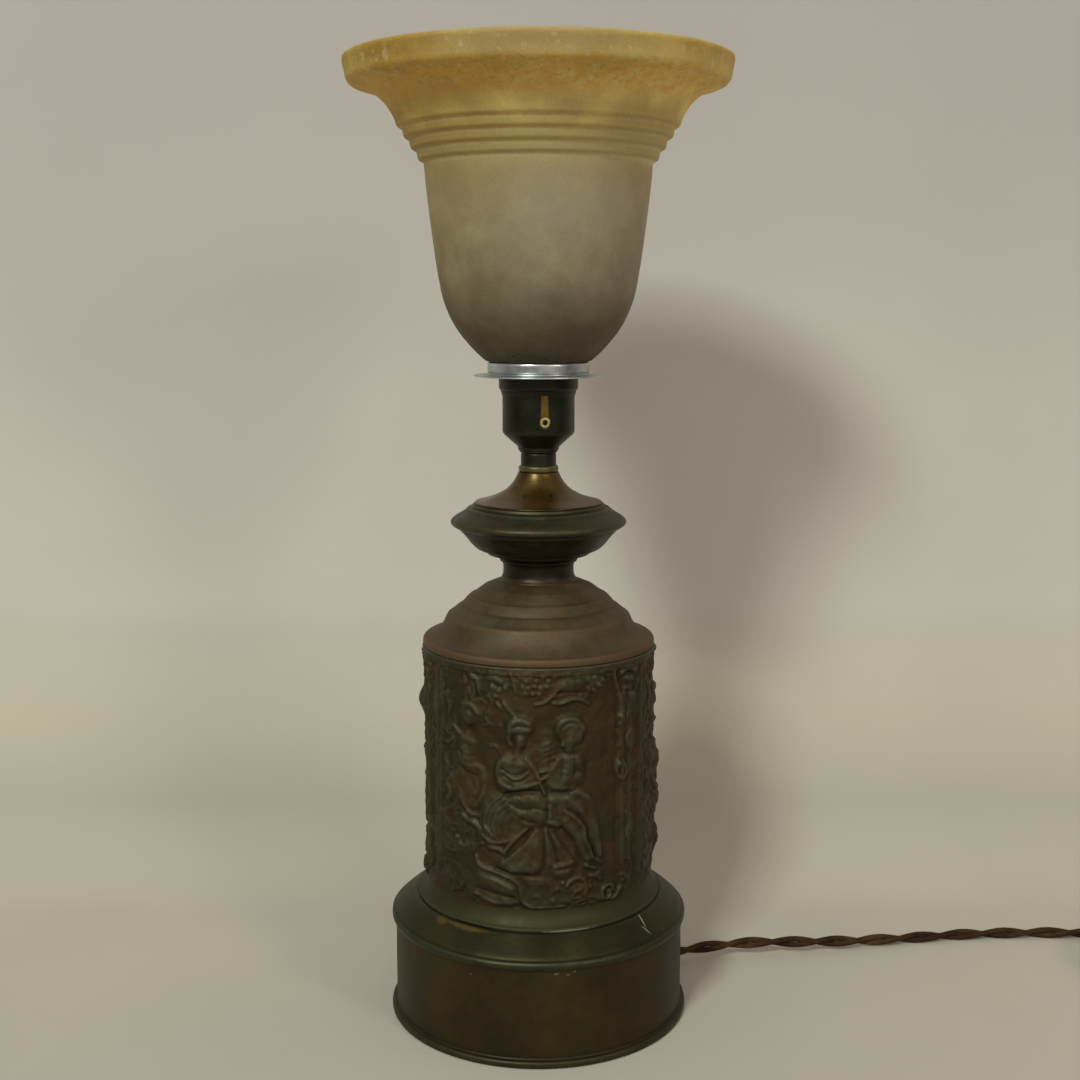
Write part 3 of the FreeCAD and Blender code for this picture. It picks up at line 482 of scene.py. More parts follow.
def clothSurface():  # braided cotton over the two wires of the cord, brown
    material, tree, place = newSurface("braidedCottonBrown")
    uv = addNode(tree, "UVMap", {"uv_map": "lay"}).outputs["UV"]
    flipped = addNode(tree, "Mapping", {"Scale": (-1.0, 1.0, 1.0), "Vector": uv}).outputs["Vector"]
    one, two = [addNode(tree, "TexWave", {"Scale": 1.2, "Distortion": 0.4, "bands_direction": "DIAGONAL",
                                          "Vector": way}).outputs["Fac"] for way in (uv, flipped)]
    weave = reckoned(tree, "MAXIMUM", one, two)
    wear = cloud(tree, place, 14, 4, 0.6)
    body = ramp(tree, wear, [(0.35, "#291c10"), (0.55, "#3f2c19"), (0.7, "#523c22")])
    body = mixed(tree, spread(tree, weave, 0.2, 0.9, 0.55, 0.0), body, "#1d130c")
    thread = bumped(tree, weave, 0.6, 0.25)
    return done(material, tree, principled(tree, body, 0.9, thread, {"Specular IOR Level": 0.15}))


def shadeSurface():  # frosted art glass: grey below, blown amber powder towards the rim, mottled leafy band, with painted shade at the foot and on the left side, a painted highlight on the rim's front and back and painted light in the ledges' hollows
    material, tree, place = newSurface("frostedAmberGlass")
    height = axisOf(tree, place, "Z")

    def zone(low, high, soft):
        return between(tree, height, low, high, soft)

    def patches(size, shift, low, high, strength, where, colour, rough=0.6):  # irregular blots of one size
        found = spread(tree, cloud(tree, place, size, 5, rough, shift=shift), low, high, 0.0, strength)
        return mixed(tree, reckoned(tree, "MULTIPLY", found, where), body, colour)

    shifted = spread(tree, cloud(tree, place, 24, 4, 0.6), 0.3, 0.7, -0.009, 0.009)
    rise = spread(tree, reckoned(tree, "ADD", height, shifted), 0.3556, 0.508, 0.0, 1.0)
    # the darkest stops near the foot are partly the glass's own grey and partly painted shade of the holder
    # and socket showing through it
    body = ramp(tree, rise, [(0.0, "#5a4f3d"), (0.1, "#726551"), (0.3, "#a2957e"), (0.5, "#b8ad93"),
                             (0.64, "#bbad86"), (0.76, "#c5b377"), (0.86, "#e6d68f"), (1.0, "#c3aa5e")])
    side = axisOf(tree, place, "X")
    # painted shade: the left side is multiplied towards a darker, yellower tone, for how the light falls on
    # it
    left = spread(tree, side, 0.0, -0.055, 0.0, 0.9)
    body = mixed(tree, left, body, mixed(tree, 1.0, body, "#ecdfb8", "MULTIPLY"))
    # painted highlight: the rim's band is paler at its front and back than at its sides
    pale = spread(tree, reckoned(tree, "ABSOLUTE", side), 0.02, 0.065, 0.6, 0.0)
    body = mixed(tree, reckoned(tree, "MULTIPLY", pale, zone(497, 510, 1)), body, "#baa67d")
    body = patches(19, 0.35, 0.42, 0.72, 0.28, zone(392, 452, 12), "#dccfa8")
    body = patches(16, 0.6, 0.42, 0.75, 0.28, zone(352, 452, 8), "#94845a", 0.5)
    body = patches(7.5, 0.2, 0.38, 0.6, 0.6, zone(484, 497.4, 2), "#dfb450")
    body = patches(2.8, 0.5, 0.54, 0.62, 0.45, zone(487, 497, 1.5), "#ba984a", 0.55)
    body = patches(4.0, 0.75, 0.56, 0.66, 0.45, zone(487, 507, 2), "#e6d8a8")
    hollow = spread(tree, stored(tree, "wear"), -0.1, -0.55, 0.0, 1.0)
    # painted light: the ledges' hollows are lifted towards a pale tone to soften their shade; the brown
    # patches after it are deposits there
    body = mixed(tree, reckoned(tree, "MULTIPLY", hollow, 0.2), body, "#f0e4bc")
    body = patches(2.6, 0.1, 0.42, 0.6, 0.18, hollow, "#97814a", 0.7)
    body = patches(2.0, 0.9, 0.63, 0.7, 0.4, zone(455, 479, 1.5), "#84703a")
    body = patches(1.5, 0.3, 0.56, 0.62, 0.75, zone(355.8, 361, 0.8), "#3a2f20")
    grain = cloud(tree, place, 0.7, 3, 0.7, shift=0.9)
    body = mixed(tree, 1.0, body, spread(tree, grain, 0.35, 0.65, 0.9, 1.08), "MULTIPLY")
    pits = bumped(tree, grain, 0.4, 0.25)
    shell = principled(tree, body, 0.62, pits, {
        "Subsurface Weight": 0.9, "Subsurface Radius": (1.0, 0.9, 0.7), "Subsurface Scale": 7.5 * mm})
    through = addNode(tree, "BsdfTranslucent", {"Color": body, "Normal": pits}).outputs[0]
    return done(material, tree, addNode(tree, "MixShader", {0: 0.4, 1: shell, 2: through}).outputs[0])


def clearSurface(name, colour, rough):  # blown soda glass
    material, tree, place = newSurface(name)
    shine = spread(tree, cloud(tree, place, 9, 3, 0.5), 0.3, 0.7, rough, rough + 0.05)
    clear = {"Transmission Weight": 1.0, "IOR": 1.5}
    return done(material, tree, principled(tree, linear(colour), shine, None, clear))


surfaces["felt"] = feltSurface()
surfaces["cloth"] = clothSurface()
surfaces["shade"] = shadeSurface()
surfaces["bulbGlass"] = clearSurface("blownBulbGlassFrosted", "#f2efe6", 0.28)
surfaces["stemGlass"] = clearSurface("pressedStemGlass", "#eef0ea", 0.05)
print("surfaces made")


# ---- Cord: two cloth-covered strands twisted together, from the bushing to a flat coil and the plug ----

cordPlan = {
    "diameter": 6.5, "strand": 1.62, "apart": 1.68, "pitch": 54.0, "phase": 1.5, "sides": 12,
    "mouth": (71.509, 36.750, 9.5), "length": 1.80,
    "lead": [(83.6, 43, 8.8), (103, 52, 7.6), (128, 55.5, 8.6), (157, 57.6, 7.8), (187, 64.5, 5.2),
             (222, 72.5, 3.4), (262, 79.5, 3.3), (303, 81.5, 3.3), (341, 80.6, 3.3)],
    "centre": (373.0, 31.0), "outer": 47.25, "inner": 27.75, "lower": 3.3, "upper": 9.8, "turnPoints": 16,
    "tail": [(420.3, 22, 9.8), (420.4, 8, 9.3), (421.2, -7, 8.6), (421.2, -12, 8.6)],
}


def cordLine(plan):  # the centreline's control points: lead, two layers of coil in one winding, tail
    points = [plan["mouth"]] + plan["lead"]
    each = plan["turnPoints"]
    centre = plan["centre"]
    span = plan["outer"] - plan["inner"]
    first = 3 * each
    winding = [(k, plan["outer"] - span * k / first, plan["lower"]) for k in range(1, first + 1)]
    for k in range(1, first + each // 4 + 1):  # the second layer runs outwards on top
        height = plan["lower"] + (plan["upper"] - plan["lower"]) * min(1, k / 6)
        winding.append((k, plan["inner"] + span * min(1, k / first), height))
    for k, radius, height in winding:
        angle = math.pi / 2 - 2 * math.pi * k / each
        points.append((centre[0] + radius * math.cos(angle), centre[1] + radius * math.sin(angle), height))
    return points + plan["tail"]


def curvePoints(points, resolution):  # points along the NURBS curve that the control points draw
    curve = bpy.data.curves.new("cordPath", "CURVE")
    curve.dimensions = "3D"
    spline = curve.splines.new("NURBS")
    spline.points.add(len(points) - 1)
    for point, place in zip(spline.points, points):
        point.co = (place[0] * mm, place[1] * mm, place[2] * mm, 1)
    spline.order_u = 3
    spline.use_endpoint_u = True
    spline.resolution_u = resolution
    holder = bpy.data.objects.new("cordPath", curve)
    scene.collection.objects.link(holder)
    mesh = bpy.data.meshes.new_from_object(holder)
    line = np.array([v.co[:] for v in mesh.vertices])
    bpy.data.meshes.remove(mesh)
    bpy.data.objects.remove(holder)
    bpy.data.curves.remove(curve)
    keep = np.linalg.norm(np.diff(line, axis=0), axis=1) > 1e-7
    return line[np.concatenate(([True], keep))]


def strands(plan, line):  # sweeps each strand's ring along the twisted line
    way = np.gradient(line, axis=0)
    way /= np.linalg.norm(way, axis=1)[:, None]
    across = np.cross(way, (0, 0, 1.0))
    across /= np.linalg.norm(across, axis=1)[:, None]
    above = np.cross(across, way)
    run = np.concatenate(([0], np.cumsum(np.linalg.norm(np.diff(line, axis=0), axis=1)))) / mm
    made = bmesh.new()
    uv = made.loops.layers.uv.new("lay")
    for side in (0, math.pi):
        twist = 2 * math.pi * run / plan["pitch"] + plan["phase"] + side
        off = across * np.cos(twist)[:, None] + above * np.sin(twist)[:, None]
        middle = line + off * plan["apart"] * mm
        rings = []
        for k in range(len(line)):
            ring = []
            for s in range(plan["sides"]):
                a = twist[k] + 2 * math.pi * s / plan["sides"]
                out = across[k] * math.cos(a) + above[k] * math.sin(a)
                ring.append(made.verts.new(middle[k] + out * plan["strand"] * mm))
            rings.append(ring)
        for k, (here, after) in enumerate(zip(rings, rings[1:])):
            edges = [made.edges.get(p) or made.edges.new(p) for p in zip(here, here[1:] + here[:1])]
            edges += [made.edges.get(p) or made.edges.new(p) for p in zip(after, after[1:] + after[:1])]
            band = bmesh.ops.bridge_loops(made, edges=edges)["faces"]
            index = {v: s for ring in (here, after) for s, v in enumerate(ring)}
            for face in band:
                turns = [index[loop.vert] for loop in face.loops]
                wraps = max(turns) - min(turns) > 1
                for loop, s in zip(face.loops, turns):
                    along = run[k] if loop.vert in here else run[k + 1]
                    around = s + (plan["sides"] if wraps and s == 0 else 0)
                    loop[uv].uv = (around / plan["sides"] * 4, along / 2.6)
        bmesh.ops.contextual_create(made, geom=rings[0])
        bmesh.ops.contextual_create(made, geom=rings[-1])
    return made


cordPath = curvePoints(cordLine(cordPlan), 7)
cordPiece = finished("twistedCord", strands(cordPlan, cordPath), "lamp",
                     ("cord_lead", "cord_coil", "cord_tail"), "cloth")
print("cord made", round(float(np.linalg.norm(np.diff(cordPath, axis=0), axis=1).sum()), 3), "m")

plugPlan = {
    "place": (421.2, -2.5, 8.6), "long": 34, "half": 8.5, "blade": (1.5, 16.5, 6.3), "spacing": 12.7,
    "hole": (1.6, 30), "holeAt": -46, "step": 0.8, "steps": 96,
    "outline": [(3.5, 0, 0.2), (5.2, 0, 0.8), (6, 2.4, 1.2), (9.6, 8.2, 2.5), (12.4, 11.2, 1.6),
                (12.9, 13.5, 0.8), (12.3, 14.6, 0.5), (12.3, 15.8, 0.5), (12.9, 16.9, 0.5), (12.3, 18, 0.5),
                (12.3, 19.2, 0.5), (12.9, 20.3, 0.5), (12.3, 21.4, 0.5), (12.3, 22.6, 0.5), (12.95, 24, 0.8),
                (12.95, 32.6, 0.8), (12.2, 34, 0.7), (0, 34, 0.1), (0, 4.8, 0.1), (3.5, 4.8, 0.3)],
}


def plugShape(plan):  # a turned plug with finger grooves, pressed flat above and below
    made = spun(section(plan["outline"], plan["step"]), plan["steps"])
    half = plan["half"] * mm
    for vert in made.verts:
        vert.co.y = max(-half, min(half, vert.co.y))
    made.transform(Matrix.Translation(Vector(plan["place"]) * mm) @ Matrix.Rotation(math.radians(90), 4, "X"))
    return made


def bladeShape(plan):
    made = bmesh.new()
    wide, long, tall = plan["blade"]
    x, y, z = plan["place"]
    for side in (-1, 1):
        cube = bmesh.ops.create_cube(made, size=1)["verts"]
        bmesh.ops.scale(made, vec=(wide * mm, long * mm, tall * mm), verts=cube)
        middle = Vector((x + side * plan["spacing"] / 2, y - plan["long"] - long / 2, z))
        bmesh.ops.translate(made, verts=cube, vec=middle * mm)
    bmesh.ops.bevel(made, geom=made.edges[:], offset=0.3 * mm, segments=3, profile=0.5, affect="EDGES",
                    material=-1)
    return made


def bladeHoles(plan):  # one bar through both blades, as a cutter
    made = bmesh.new()
    radius, long = [v * mm for v in plan["hole"]]
    bmesh.ops.create_cone(made, cap_ends=True, segments=32, radius1=radius, radius2=radius, depth=long)
    x, y, z = plan["place"]
    middle = Matrix.Translation(Vector((x, y + plan["holeAt"], z)) * mm)
    made.transform(middle @ Matrix.Rotation(math.radians(90), 4, "Y"))
    return loose("bladeHoles", made)


plugPiece = finished("plugBody", plugShape(plugPlan), "lamp", ("plug_body",), "bakelite")
bladePiece = finished("plugBlades", bladeShape(plugPlan), "lamp", ("plug_blades",), "brass")
cutAway(bladePiece, bladeHoles(plugPlan))


# ---- Base ----

exitAt = {"angle": 117.2, "distance": 78.8, "height": 9.5}  # where the cord leaves the base's wall

baseWall = {
    "outline": [(77.6, 0, 0.2), (79.3, 0, 1.2), (81.5, 0.3, 1.7), (81.5, 3.7, 1.7), (79.3, 4.1, 0.7),
                (78.8, 4.8, 0.7), (78.8, 8, 0.5), (78.8, 55.4, 0.2), (77.6, 55.4, 0.2)],
    "step": 1.5, "steps": 216, "dent": (26, 0.16, 1, 6), "hole": (4.3, 70, 90),
}
basePiece = turned("baseWall", baseWall, "base_shell", "base")
cutAway(basePiece, rod(*baseWall["hole"], exitAt["angle"], exitAt["height"]))

coverTop = {
    "outline": [(78.9, 52.55, 0.2), (80.05, 52.55, 0.4), (80.9, 54.2, 0.9), (80.94, 55.7, 0.8),
                (80.1, 56.9, 0.6), (79.15, 57.2, 0.5), (78.35, 58.3, 0.5), (77.3, 59.35, 0.7),
                (74.2, 61.9, 1.5), (70.85, 64.5, 1.6), (68.2, 66.5, 1), (67.2, 67, 0.5), (4.95, 67, 0.2),
                (4.95, 65.8, 0.2), (66.2, 65.8, 0.5), (72.2, 61, 1.5), (76.4, 55.45, 0.4),
                (78.9, 55.45, 0.2)],
    "step": 1.5, "steps": 216, "dent": (20, 0.2, 2, 53),
}
turned("baseCover", coverTop, "base_cover", "cover")

pad = {"outline": [(0, 0, 0.1), (76.0, 0, 0.4), (76.0, 1.5, 0.4), (0, 1.5, 0.1)], "step": 3, "steps": 128}
turned("feltPad", pad, "felt_pad", "felt")

bushing = {
    "outline": [(3.35, -2.6, 0.2), (4.9, -2.6, 0.3), (4.9, -1.4, 0.3), (4.15, -1.4, 0.1), (4.15, 0.05, 0.1),
                (4.9, 0.05, 0.3), (4.9, 1.5, 0.8), (4.3, 1.6, 0.4), (3.45, 1.6, 0.3)],
    "step": 0.5, "steps": 64, "facing": exitAt,
}
turned("cordBushing", bushing, "cord_bushing", "rubber")
print("base made")


# ---- Dome and turned neck ----

domeSteps = [
    (59.7, 209.3, 0.5), (57.6, 210.2, 1.0), (54.5, 211.9, 2.0), (51.9, 214.5, 2.0), (50.4, 217.2, 1.6),
    (49.5, 219.5, 0.8), (48.7, 220.9, 0.5), (46.7, 222.1, 0.9), (43.8, 224.6, 1.5), (42.3, 225.6, 0.5),
    (41.3, 226.0, 0.4), (39.9, 227.9, 0.8), (37.9, 230.2, 0.8), (36.9, 231.0, 0.4), (35.6, 231.4, 0.5),
    (31.8, 234.2, 1.4), (29.4, 236.0, 0.6), (28.1, 236.4, 0.5), (25.5, 237.6, 1.0), (23.0, 238.6, 0.8),
    (20.8, 239.38, 0.5)]
dome = {
    "outline": [(60.4, 205, 0.2), (61.3, 205, 0.4), (62.2, 205.5, 0.8), (62.25, 208, 1), (61.2, 209.2, 0.6),
                *domeSteps, (4.95, 239.38, 0.2), (4.95, 238.2, 0.2), (20, 238.2, 0.6),
                *lining(domeSteps, (1, 3, 5, 8, 12, 15, 19), 1.35, 1.2), (60.2, 206.2, 0.4)],
    "step": 1.2, "steps": 216, "dent": (24, 0.3, 3, 209, 236),
}
turned("domeCover", dome, "dome_cover", "dome")

spool = {
    "outline": [(16.7, 239.4, 0.2), (20.75, 239.4, 0.1), (20.6, 239.8, 0.3), (19.7, 240.7, 1),
                (18.95, 242.6, 1.6), (18.8, 246.5, 2), (19.2, 248.6, 0.8), (19.5, 249.2, 0.3),
                (20.6, 249.6, 0.5), (20.9, 250.9, 0.6), (21.9, 251.7, 0.8), (24.2, 252.8, 1.2),
                (27.4, 253.6, 0.5), (27.8, 254.4, 0.3), (25.6, 254.4, 0.3), (23.2, 254, 1),
                (18.2, 251.9, 1.2), (16.8, 248.5, 1.2)],
    "step": 0.8, "steps": 160, "dent": (9, 0.1, 4),
}
turned("neckSpool", spool, "neck_spool", "neck")

bowlSide = [(27.8, 254.4, 0.4), (29.2, 255, 0.6), (33.3, 256.75, 1.6), (36.4, 259.9, 1.4), (37.9, 262, 1.4),
            (40.2, 264.7, 1.4), (41.9, 266.4, 0.7), (42.4, 267.4, 0.3)]
bowl = {
    "outline": [(4.95, 254.4, 0.2), *bowlSide, (41.2, 267.4, 0.3), *lining(bowlSide, range(2, 7), 1.2, 1),
                (26.8, 255.6, 0.6), (4.95, 255.6, 0.2)],
    "step": 0.9, "steps": 192,
}
turned("neckBowl", bowl, "neck_bowl", "neck")

saucerSide = [
    (43.0, 267.4, 0.3), (44.8, 268.4, 1.0), (46.1, 269.2, 0.5), (46.85, 270.2, 0.6), (46.85, 271.2, 0.5),
    (46.2, 272.1, 0.6), (44.4, 273.5, 1.2), (41.4, 275.3, 1.4), (38.9, 277.0, 0.8), (38.0, 278.1, 0.5),
    (36.9, 278.5, 0.5), (36.1, 278.3, 0.4), (35.4, 278.9, 0.5), (34.9, 280.35, 0.5)]
saucer = {
    "outline": [(41.2, 267.4, 0.3), *saucerSide, (4.95, 280.4, 0.2), (4.95, 279.2, 0.2), (32.4, 279.2, 0.4),
                *lining(saucerSide + [(34.7, 280.2)], (5, 7, 9, -1), 1.2, 0.8)],
    "step": 0.9, "steps": 192, "dent": (12, 0.12, 5),
}
turned("neckSaucer", saucer, "neck_saucer", "saucer")

capSide = [(33.9, 280.4, 0.3), (33.9, 281.3, 0.5), (29, 282.5, 2.4), (23.8, 284.2, 2.4), (18.2, 287.1, 2.2),
           (15.5, 289.4, 1.4), (13.6, 291.7, 1.2), (12.1, 294.1, 1.2), (11.2, 296, 0.8), (10.8, 297.2, 0.3)]
cap = {
    "outline": [(31.5, 280.4, 0.3), *capSide, (4.95, 297.2, 0.2), (4.95, 296, 0.2), (9.6, 296, 0.4),
                *lining(capSide, (2, 3, 4, 6, 7), 1.2, 1)],
    "step": 0.8, "steps": 160,
}
turned("neckCap", cap, "neck_cap", "cap")

collar = {
    "outline": [(4.95, 297.2, 0.2), (9.7, 297.2, 0.3), (10.55, 297.9, 0.7), (10.55, 300.1, 0.7),
                (9.7, 300.8, 0.3), (4.95, 300.8, 0.2)],
    "step": 0.4, "steps": 96,
}
turned("checkRing", collar, "check_ring", "check")

coupling = {
    "outline": [(4.95, 300.8, 0.2), (9.35, 300.8, 0.2), (9.35, 306.8, 0.3), (9.1, 307.2, 0.2),
                (9.55, 307.7, 0.3), (10.2, 308, 0.3), (10.2, 308.7, 0.2), (4.95, 308.7, 0.2)],
    "step": 0.5, "steps": 96,
}
turned("neckCoupling", coupling, "neck_coupling", "husk")
print("neck made")


# ---- Socket and shade holder ----

keyAt = {"angle": 10.7, "distance": 0, "height": 324.5}  # the axis of the switch

husk = {
    "outline": [(4.95, 308.7, 0.2), (10.3, 308.7, 0.2), (10.9, 309.2, 0.3), (10.75, 310.3, 0.4),
                (11.6, 311.2, 0.5), (18.4, 317.3, 0.6), (19.05, 318.6, 0.6), (19.05, 337.2, 0.5),
                (19.8, 339.5, 0.5), (19.95, 340.5, 0.3), (20.75, 341.2, 0.5), (20.9, 342.2, 0.4),
                (20.9, 346.7, 0.4), (20.1, 347.6, 0.4), (18.15, 347.6, 0.3), (18.15, 318.7, 0.5),
                (10.2, 310.95, 0.5), (9.9, 309.8, 0.2), (4.95, 309.8, 0.2)],
    "step": 0.7, "steps": 160, "hole": 3.3, "slot": 4.4, "slotTop": 338.5, "inside": 16.5, "deep": 6,
}


def keyhole(plan):  # a round hole that runs up into a slot, as a cutter
    made = bmesh.new()
    bmesh.ops.create_circle(made, cap_ends=True, segments=48, radius=plan["hole"] * mm)
    half = plan["slot"] / 2 * mm
    for vert in made.verts:
        if vert.co.y > 0 and abs(vert.co.x) < half:
            vert.co.y = (plan["slotTop"] - keyAt["height"]) * mm
    top = sorted((v for v in made.verts if v.co.y > 0.01), key=lambda v: v.co.x)
    for vert in (top[0], top[-1]):
        vert.co.x = math.copysign(half, vert.co.x)
    pulled(made, bmesh.ops.extrude_face_region(made, geom=made.faces[:]), (0, 0, plan["deep"] * mm))
    bmesh.ops.recalc_face_normals(made, faces=made.faces)
    angle = math.radians(keyAt["angle"])
    way = Vector((math.sin(angle), -math.cos(angle), 0))
    turn = Matrix((Vector((0, 0, 1)).cross(way), (0, 0, 1), way)).transposed().to_4x4()
    made.transform(Matrix.Translation((way * plan["inside"] + Vector((0, 0, keyAt["height"]))) * mm) @ turn)
    return loose("keyhole", made)


cutAway(turned("socketHusk", husk, "socket_husk", "husk"), keyhole(husk))

shell = {
    "outline": [(17.1, 319.6, 0.1), (17.9, 319.6, 0.2), (17.9, 371, 0.3), (17.1, 371, 0.3)],
    "step": 0.28, "steps": 96, "thread": 0.32, "pitch": 1.7, "from": 348.5, "crest": 17.9,
    "hole": (2.95, 12, 24),
}
shellPiece = turned("socketShell", shell, "socket_shell", "brass")
cutAway(shellPiece, rod(*shell["hole"], keyAt["angle"], keyAt["height"]))

spindle = {
    "outline": [(0, 7.95, 0.1), (2.7, 7.95, 0.2), (2.7, 18.55, 0.35), (1.4, 18.55, 0.25), (1.4, 12.6, 0.1),
                (0, 12.6, 0.1)],
    "step": 0.4, "steps": 64, "facing": keyAt,
}
turned("switchSpindle", spindle, "switch_spindle", "spindle", "switch")

holder = {
    "outline": [(18.15, 347.6, 0.15), (33.7, 347.6, 0.3), (34.2, 347.75, 0.2), (34.2, 348.25, 0.2),
                (33.6, 348.4, 0.3), (27.6, 348.4, 0.4), (26.8, 348.8, 0.3), (26.55, 349.7, 0.3),
                (26.8, 350.3, 0.4), (26.8, 354.4, 0.5), (26.1, 355.4, 0.6), (22, 355.4, 0.2),
                (22, 354.6, 0.2), (25.9, 354.6, 0.3), (26, 348.5, 0.3), (18.15, 348.4, 0.2)],
    "step": 0.7, "steps": 192,
}
turned("shadeHolder", holder, "shade_holder", "aluminium")
print("socket made")


# ---- Glass shade, clamping ring and bulb ----

shade = {
    "bell": [(27.6, 355.6, 1), (33, 360.4, 3), (40.5, 368.8, 4.5), (45.7, 377.1, 4.5), (49.9, 387.5, 5),
             (52.6, 402, 7), (55.9, 426.5, 10), (58.3, 448, 4), (58.75, 455.3, 1)],
    "ledges": 4, "run": 3.6, "rise": 5.6, "from": (58.8, 456.3), "wall": 4.0,
    "ledge": [(0.2, 0.2, 0.6), (3.05, 1.85, 0.9), (3.55, 4.6, 0.6)],
    "behind": [(58.3, 448), (70.5, 471.5)], "bend": (68.3, 478.4),
    "flare": [(73.4, 477.6, 0.8), (75.1, 481.2, 2.2), (77.9, 485.6, 2.6), (82.4, 490.1, 3),
              (87.6, 493.2, 2.6), (92.4, 494.7, 2), (95.6, 495.2, 1.2), (97, 496, 0.7)],
    "rim": [(97.9, 497.6, 0.6), (98.5, 501, 1.5), (99.75, 506.4, 1), (99.2, 507.95, 0.8), (97.6, 508, 0.8),
            (96.2, 507, 1), (94.6, 501, 1.5), (92.9, 499, 1.2)],
    "foot": [(30.8, 361.6, 1.5), (28.5, 359.6, 1), (20, 359.6, 0.4), (20, 355.6, 0.4)],
    "step": 1.7, "steps": 252, "ripple": (7, 0.35), "grain": (2.4, 0.08), "blown": (357, 507),
    "band": (483, 6),
}


def shadeOutline(plan):  # bell, stepped ledges, flare and rim, then back down the inside to the foot
    ledges = []
    for k in range(plan["ledges"]):
        r, z = plan["from"][0] + k * plan["run"], plan["from"][1] + k * plan["rise"]
        ledges += [(r + out, z + up, reach) for out, up, reach in plan["ledge"]]
    wall = plan["wall"]
    inside = [*beside(plan["flare"][1:7], wall)[::-1], plan["bend"], *beside(plan["behind"], wall)[::-1],
              *beside(plan["bell"][2:7], wall)[::-1]]
    return plan["bell"] + ledges[:-1] + plan["flare"] + plan["rim"] + eased(inside, 3.0) + plan["foot"]


def blownGlass(radius, p):  # hammered ripple in the rim's band, fine grain all over
    if not shade["blown"][0] <= p.z <= shade["blown"][1]:
        return 0
    start, run = shade["band"]
    band = max(0.0, min(1.0, (p.z - start) / run))
    return band * shade["ripple"][1] * noise.noise(p / shade["ripple"][0]) \
        + shade["grain"][1] * noise.noise(p / shade["grain"][0])


madeShade = pushedOut(spun(section(shadeOutline(shade), shade["step"]), shade["steps"]), blownGlass)
finished("glassShade", madeShade, "shade", ("glass_shade",), "shade")

clamp = {
    "outline": [(18.05, 359.8, 0.2), (22.5, 359.8, 0.3), (22.5, 361.8, 0.4), (19.95, 361.9, 0.3),
                (19.85, 367, 0.4), (19.3, 367.3, 0.3), (18.05, 367.3, 0.2)],
    "step": 0.5, "steps": 240, "notches": 40, "depth": 0.35, "from": 22,
}


def notched(radius, p):  # the grip round the ring's edge
    if radius < clamp["from"]:
        return 0
    return clamp["depth"] * (0.5 * math.cos(clamp["notches"] * math.atan2(p.y, p.x)) - 0.5)


madeClamp = pushedOut(spun(section(clamp["outline"], clamp["step"]), clamp["steps"]), notched)
finished("clampRing", madeClamp, "ring", ("shade_ring",), "brass")

bulbSide = [(12.5, 364, 0.2), (12.5, 370.6, 1.5), (14.4, 378.2, 4), (18.8, 391.6, 5), (25.2, 407.1, 6),
            (28.9, 416.7, 5), (30, 422.5, 4), (29.6, 429, 4), (27.2, 434.8, 4), (23, 441.6, 4),
            (16.8, 447, 4), (9, 450.9, 4), (0, 451.9, 4)]
bulb = {
    "outline": [*bulbSide[:-1], (0, 451.8, 0.05), (0, 451.0, 0.05), *lining(bulbSide, range(1, 12), 0.8, 4),
                (11.7, 364.0, 0.2)],
    "step": 1.2, "steps": 128,
}
turned("bulbGlass", bulb, "bulb_envelope", "bulbGlass", "bulb")

bulbCap = {
    "outline": [(9.8, 347.5, 0.2), (12.6, 347.5, 0.4), (13.1, 348.6, 0.5), (13.1, 371, 0.2), (12.8, 371, 0.1),
                (12.6, 349, 0.3), (12.2, 347.9, 0.2), (9.8, 347.8, 0.1)],
    "step": 0.4, "steps": 96, "thread": 0.55, "pitch": 3.6, "from": 350.0, "crest": 13.1,
}
turned("bulbCap", bulbCap, "bulb_base", "capMetal", "bulb")
print("shade and bulb made")


# ---- Embossed drum ----

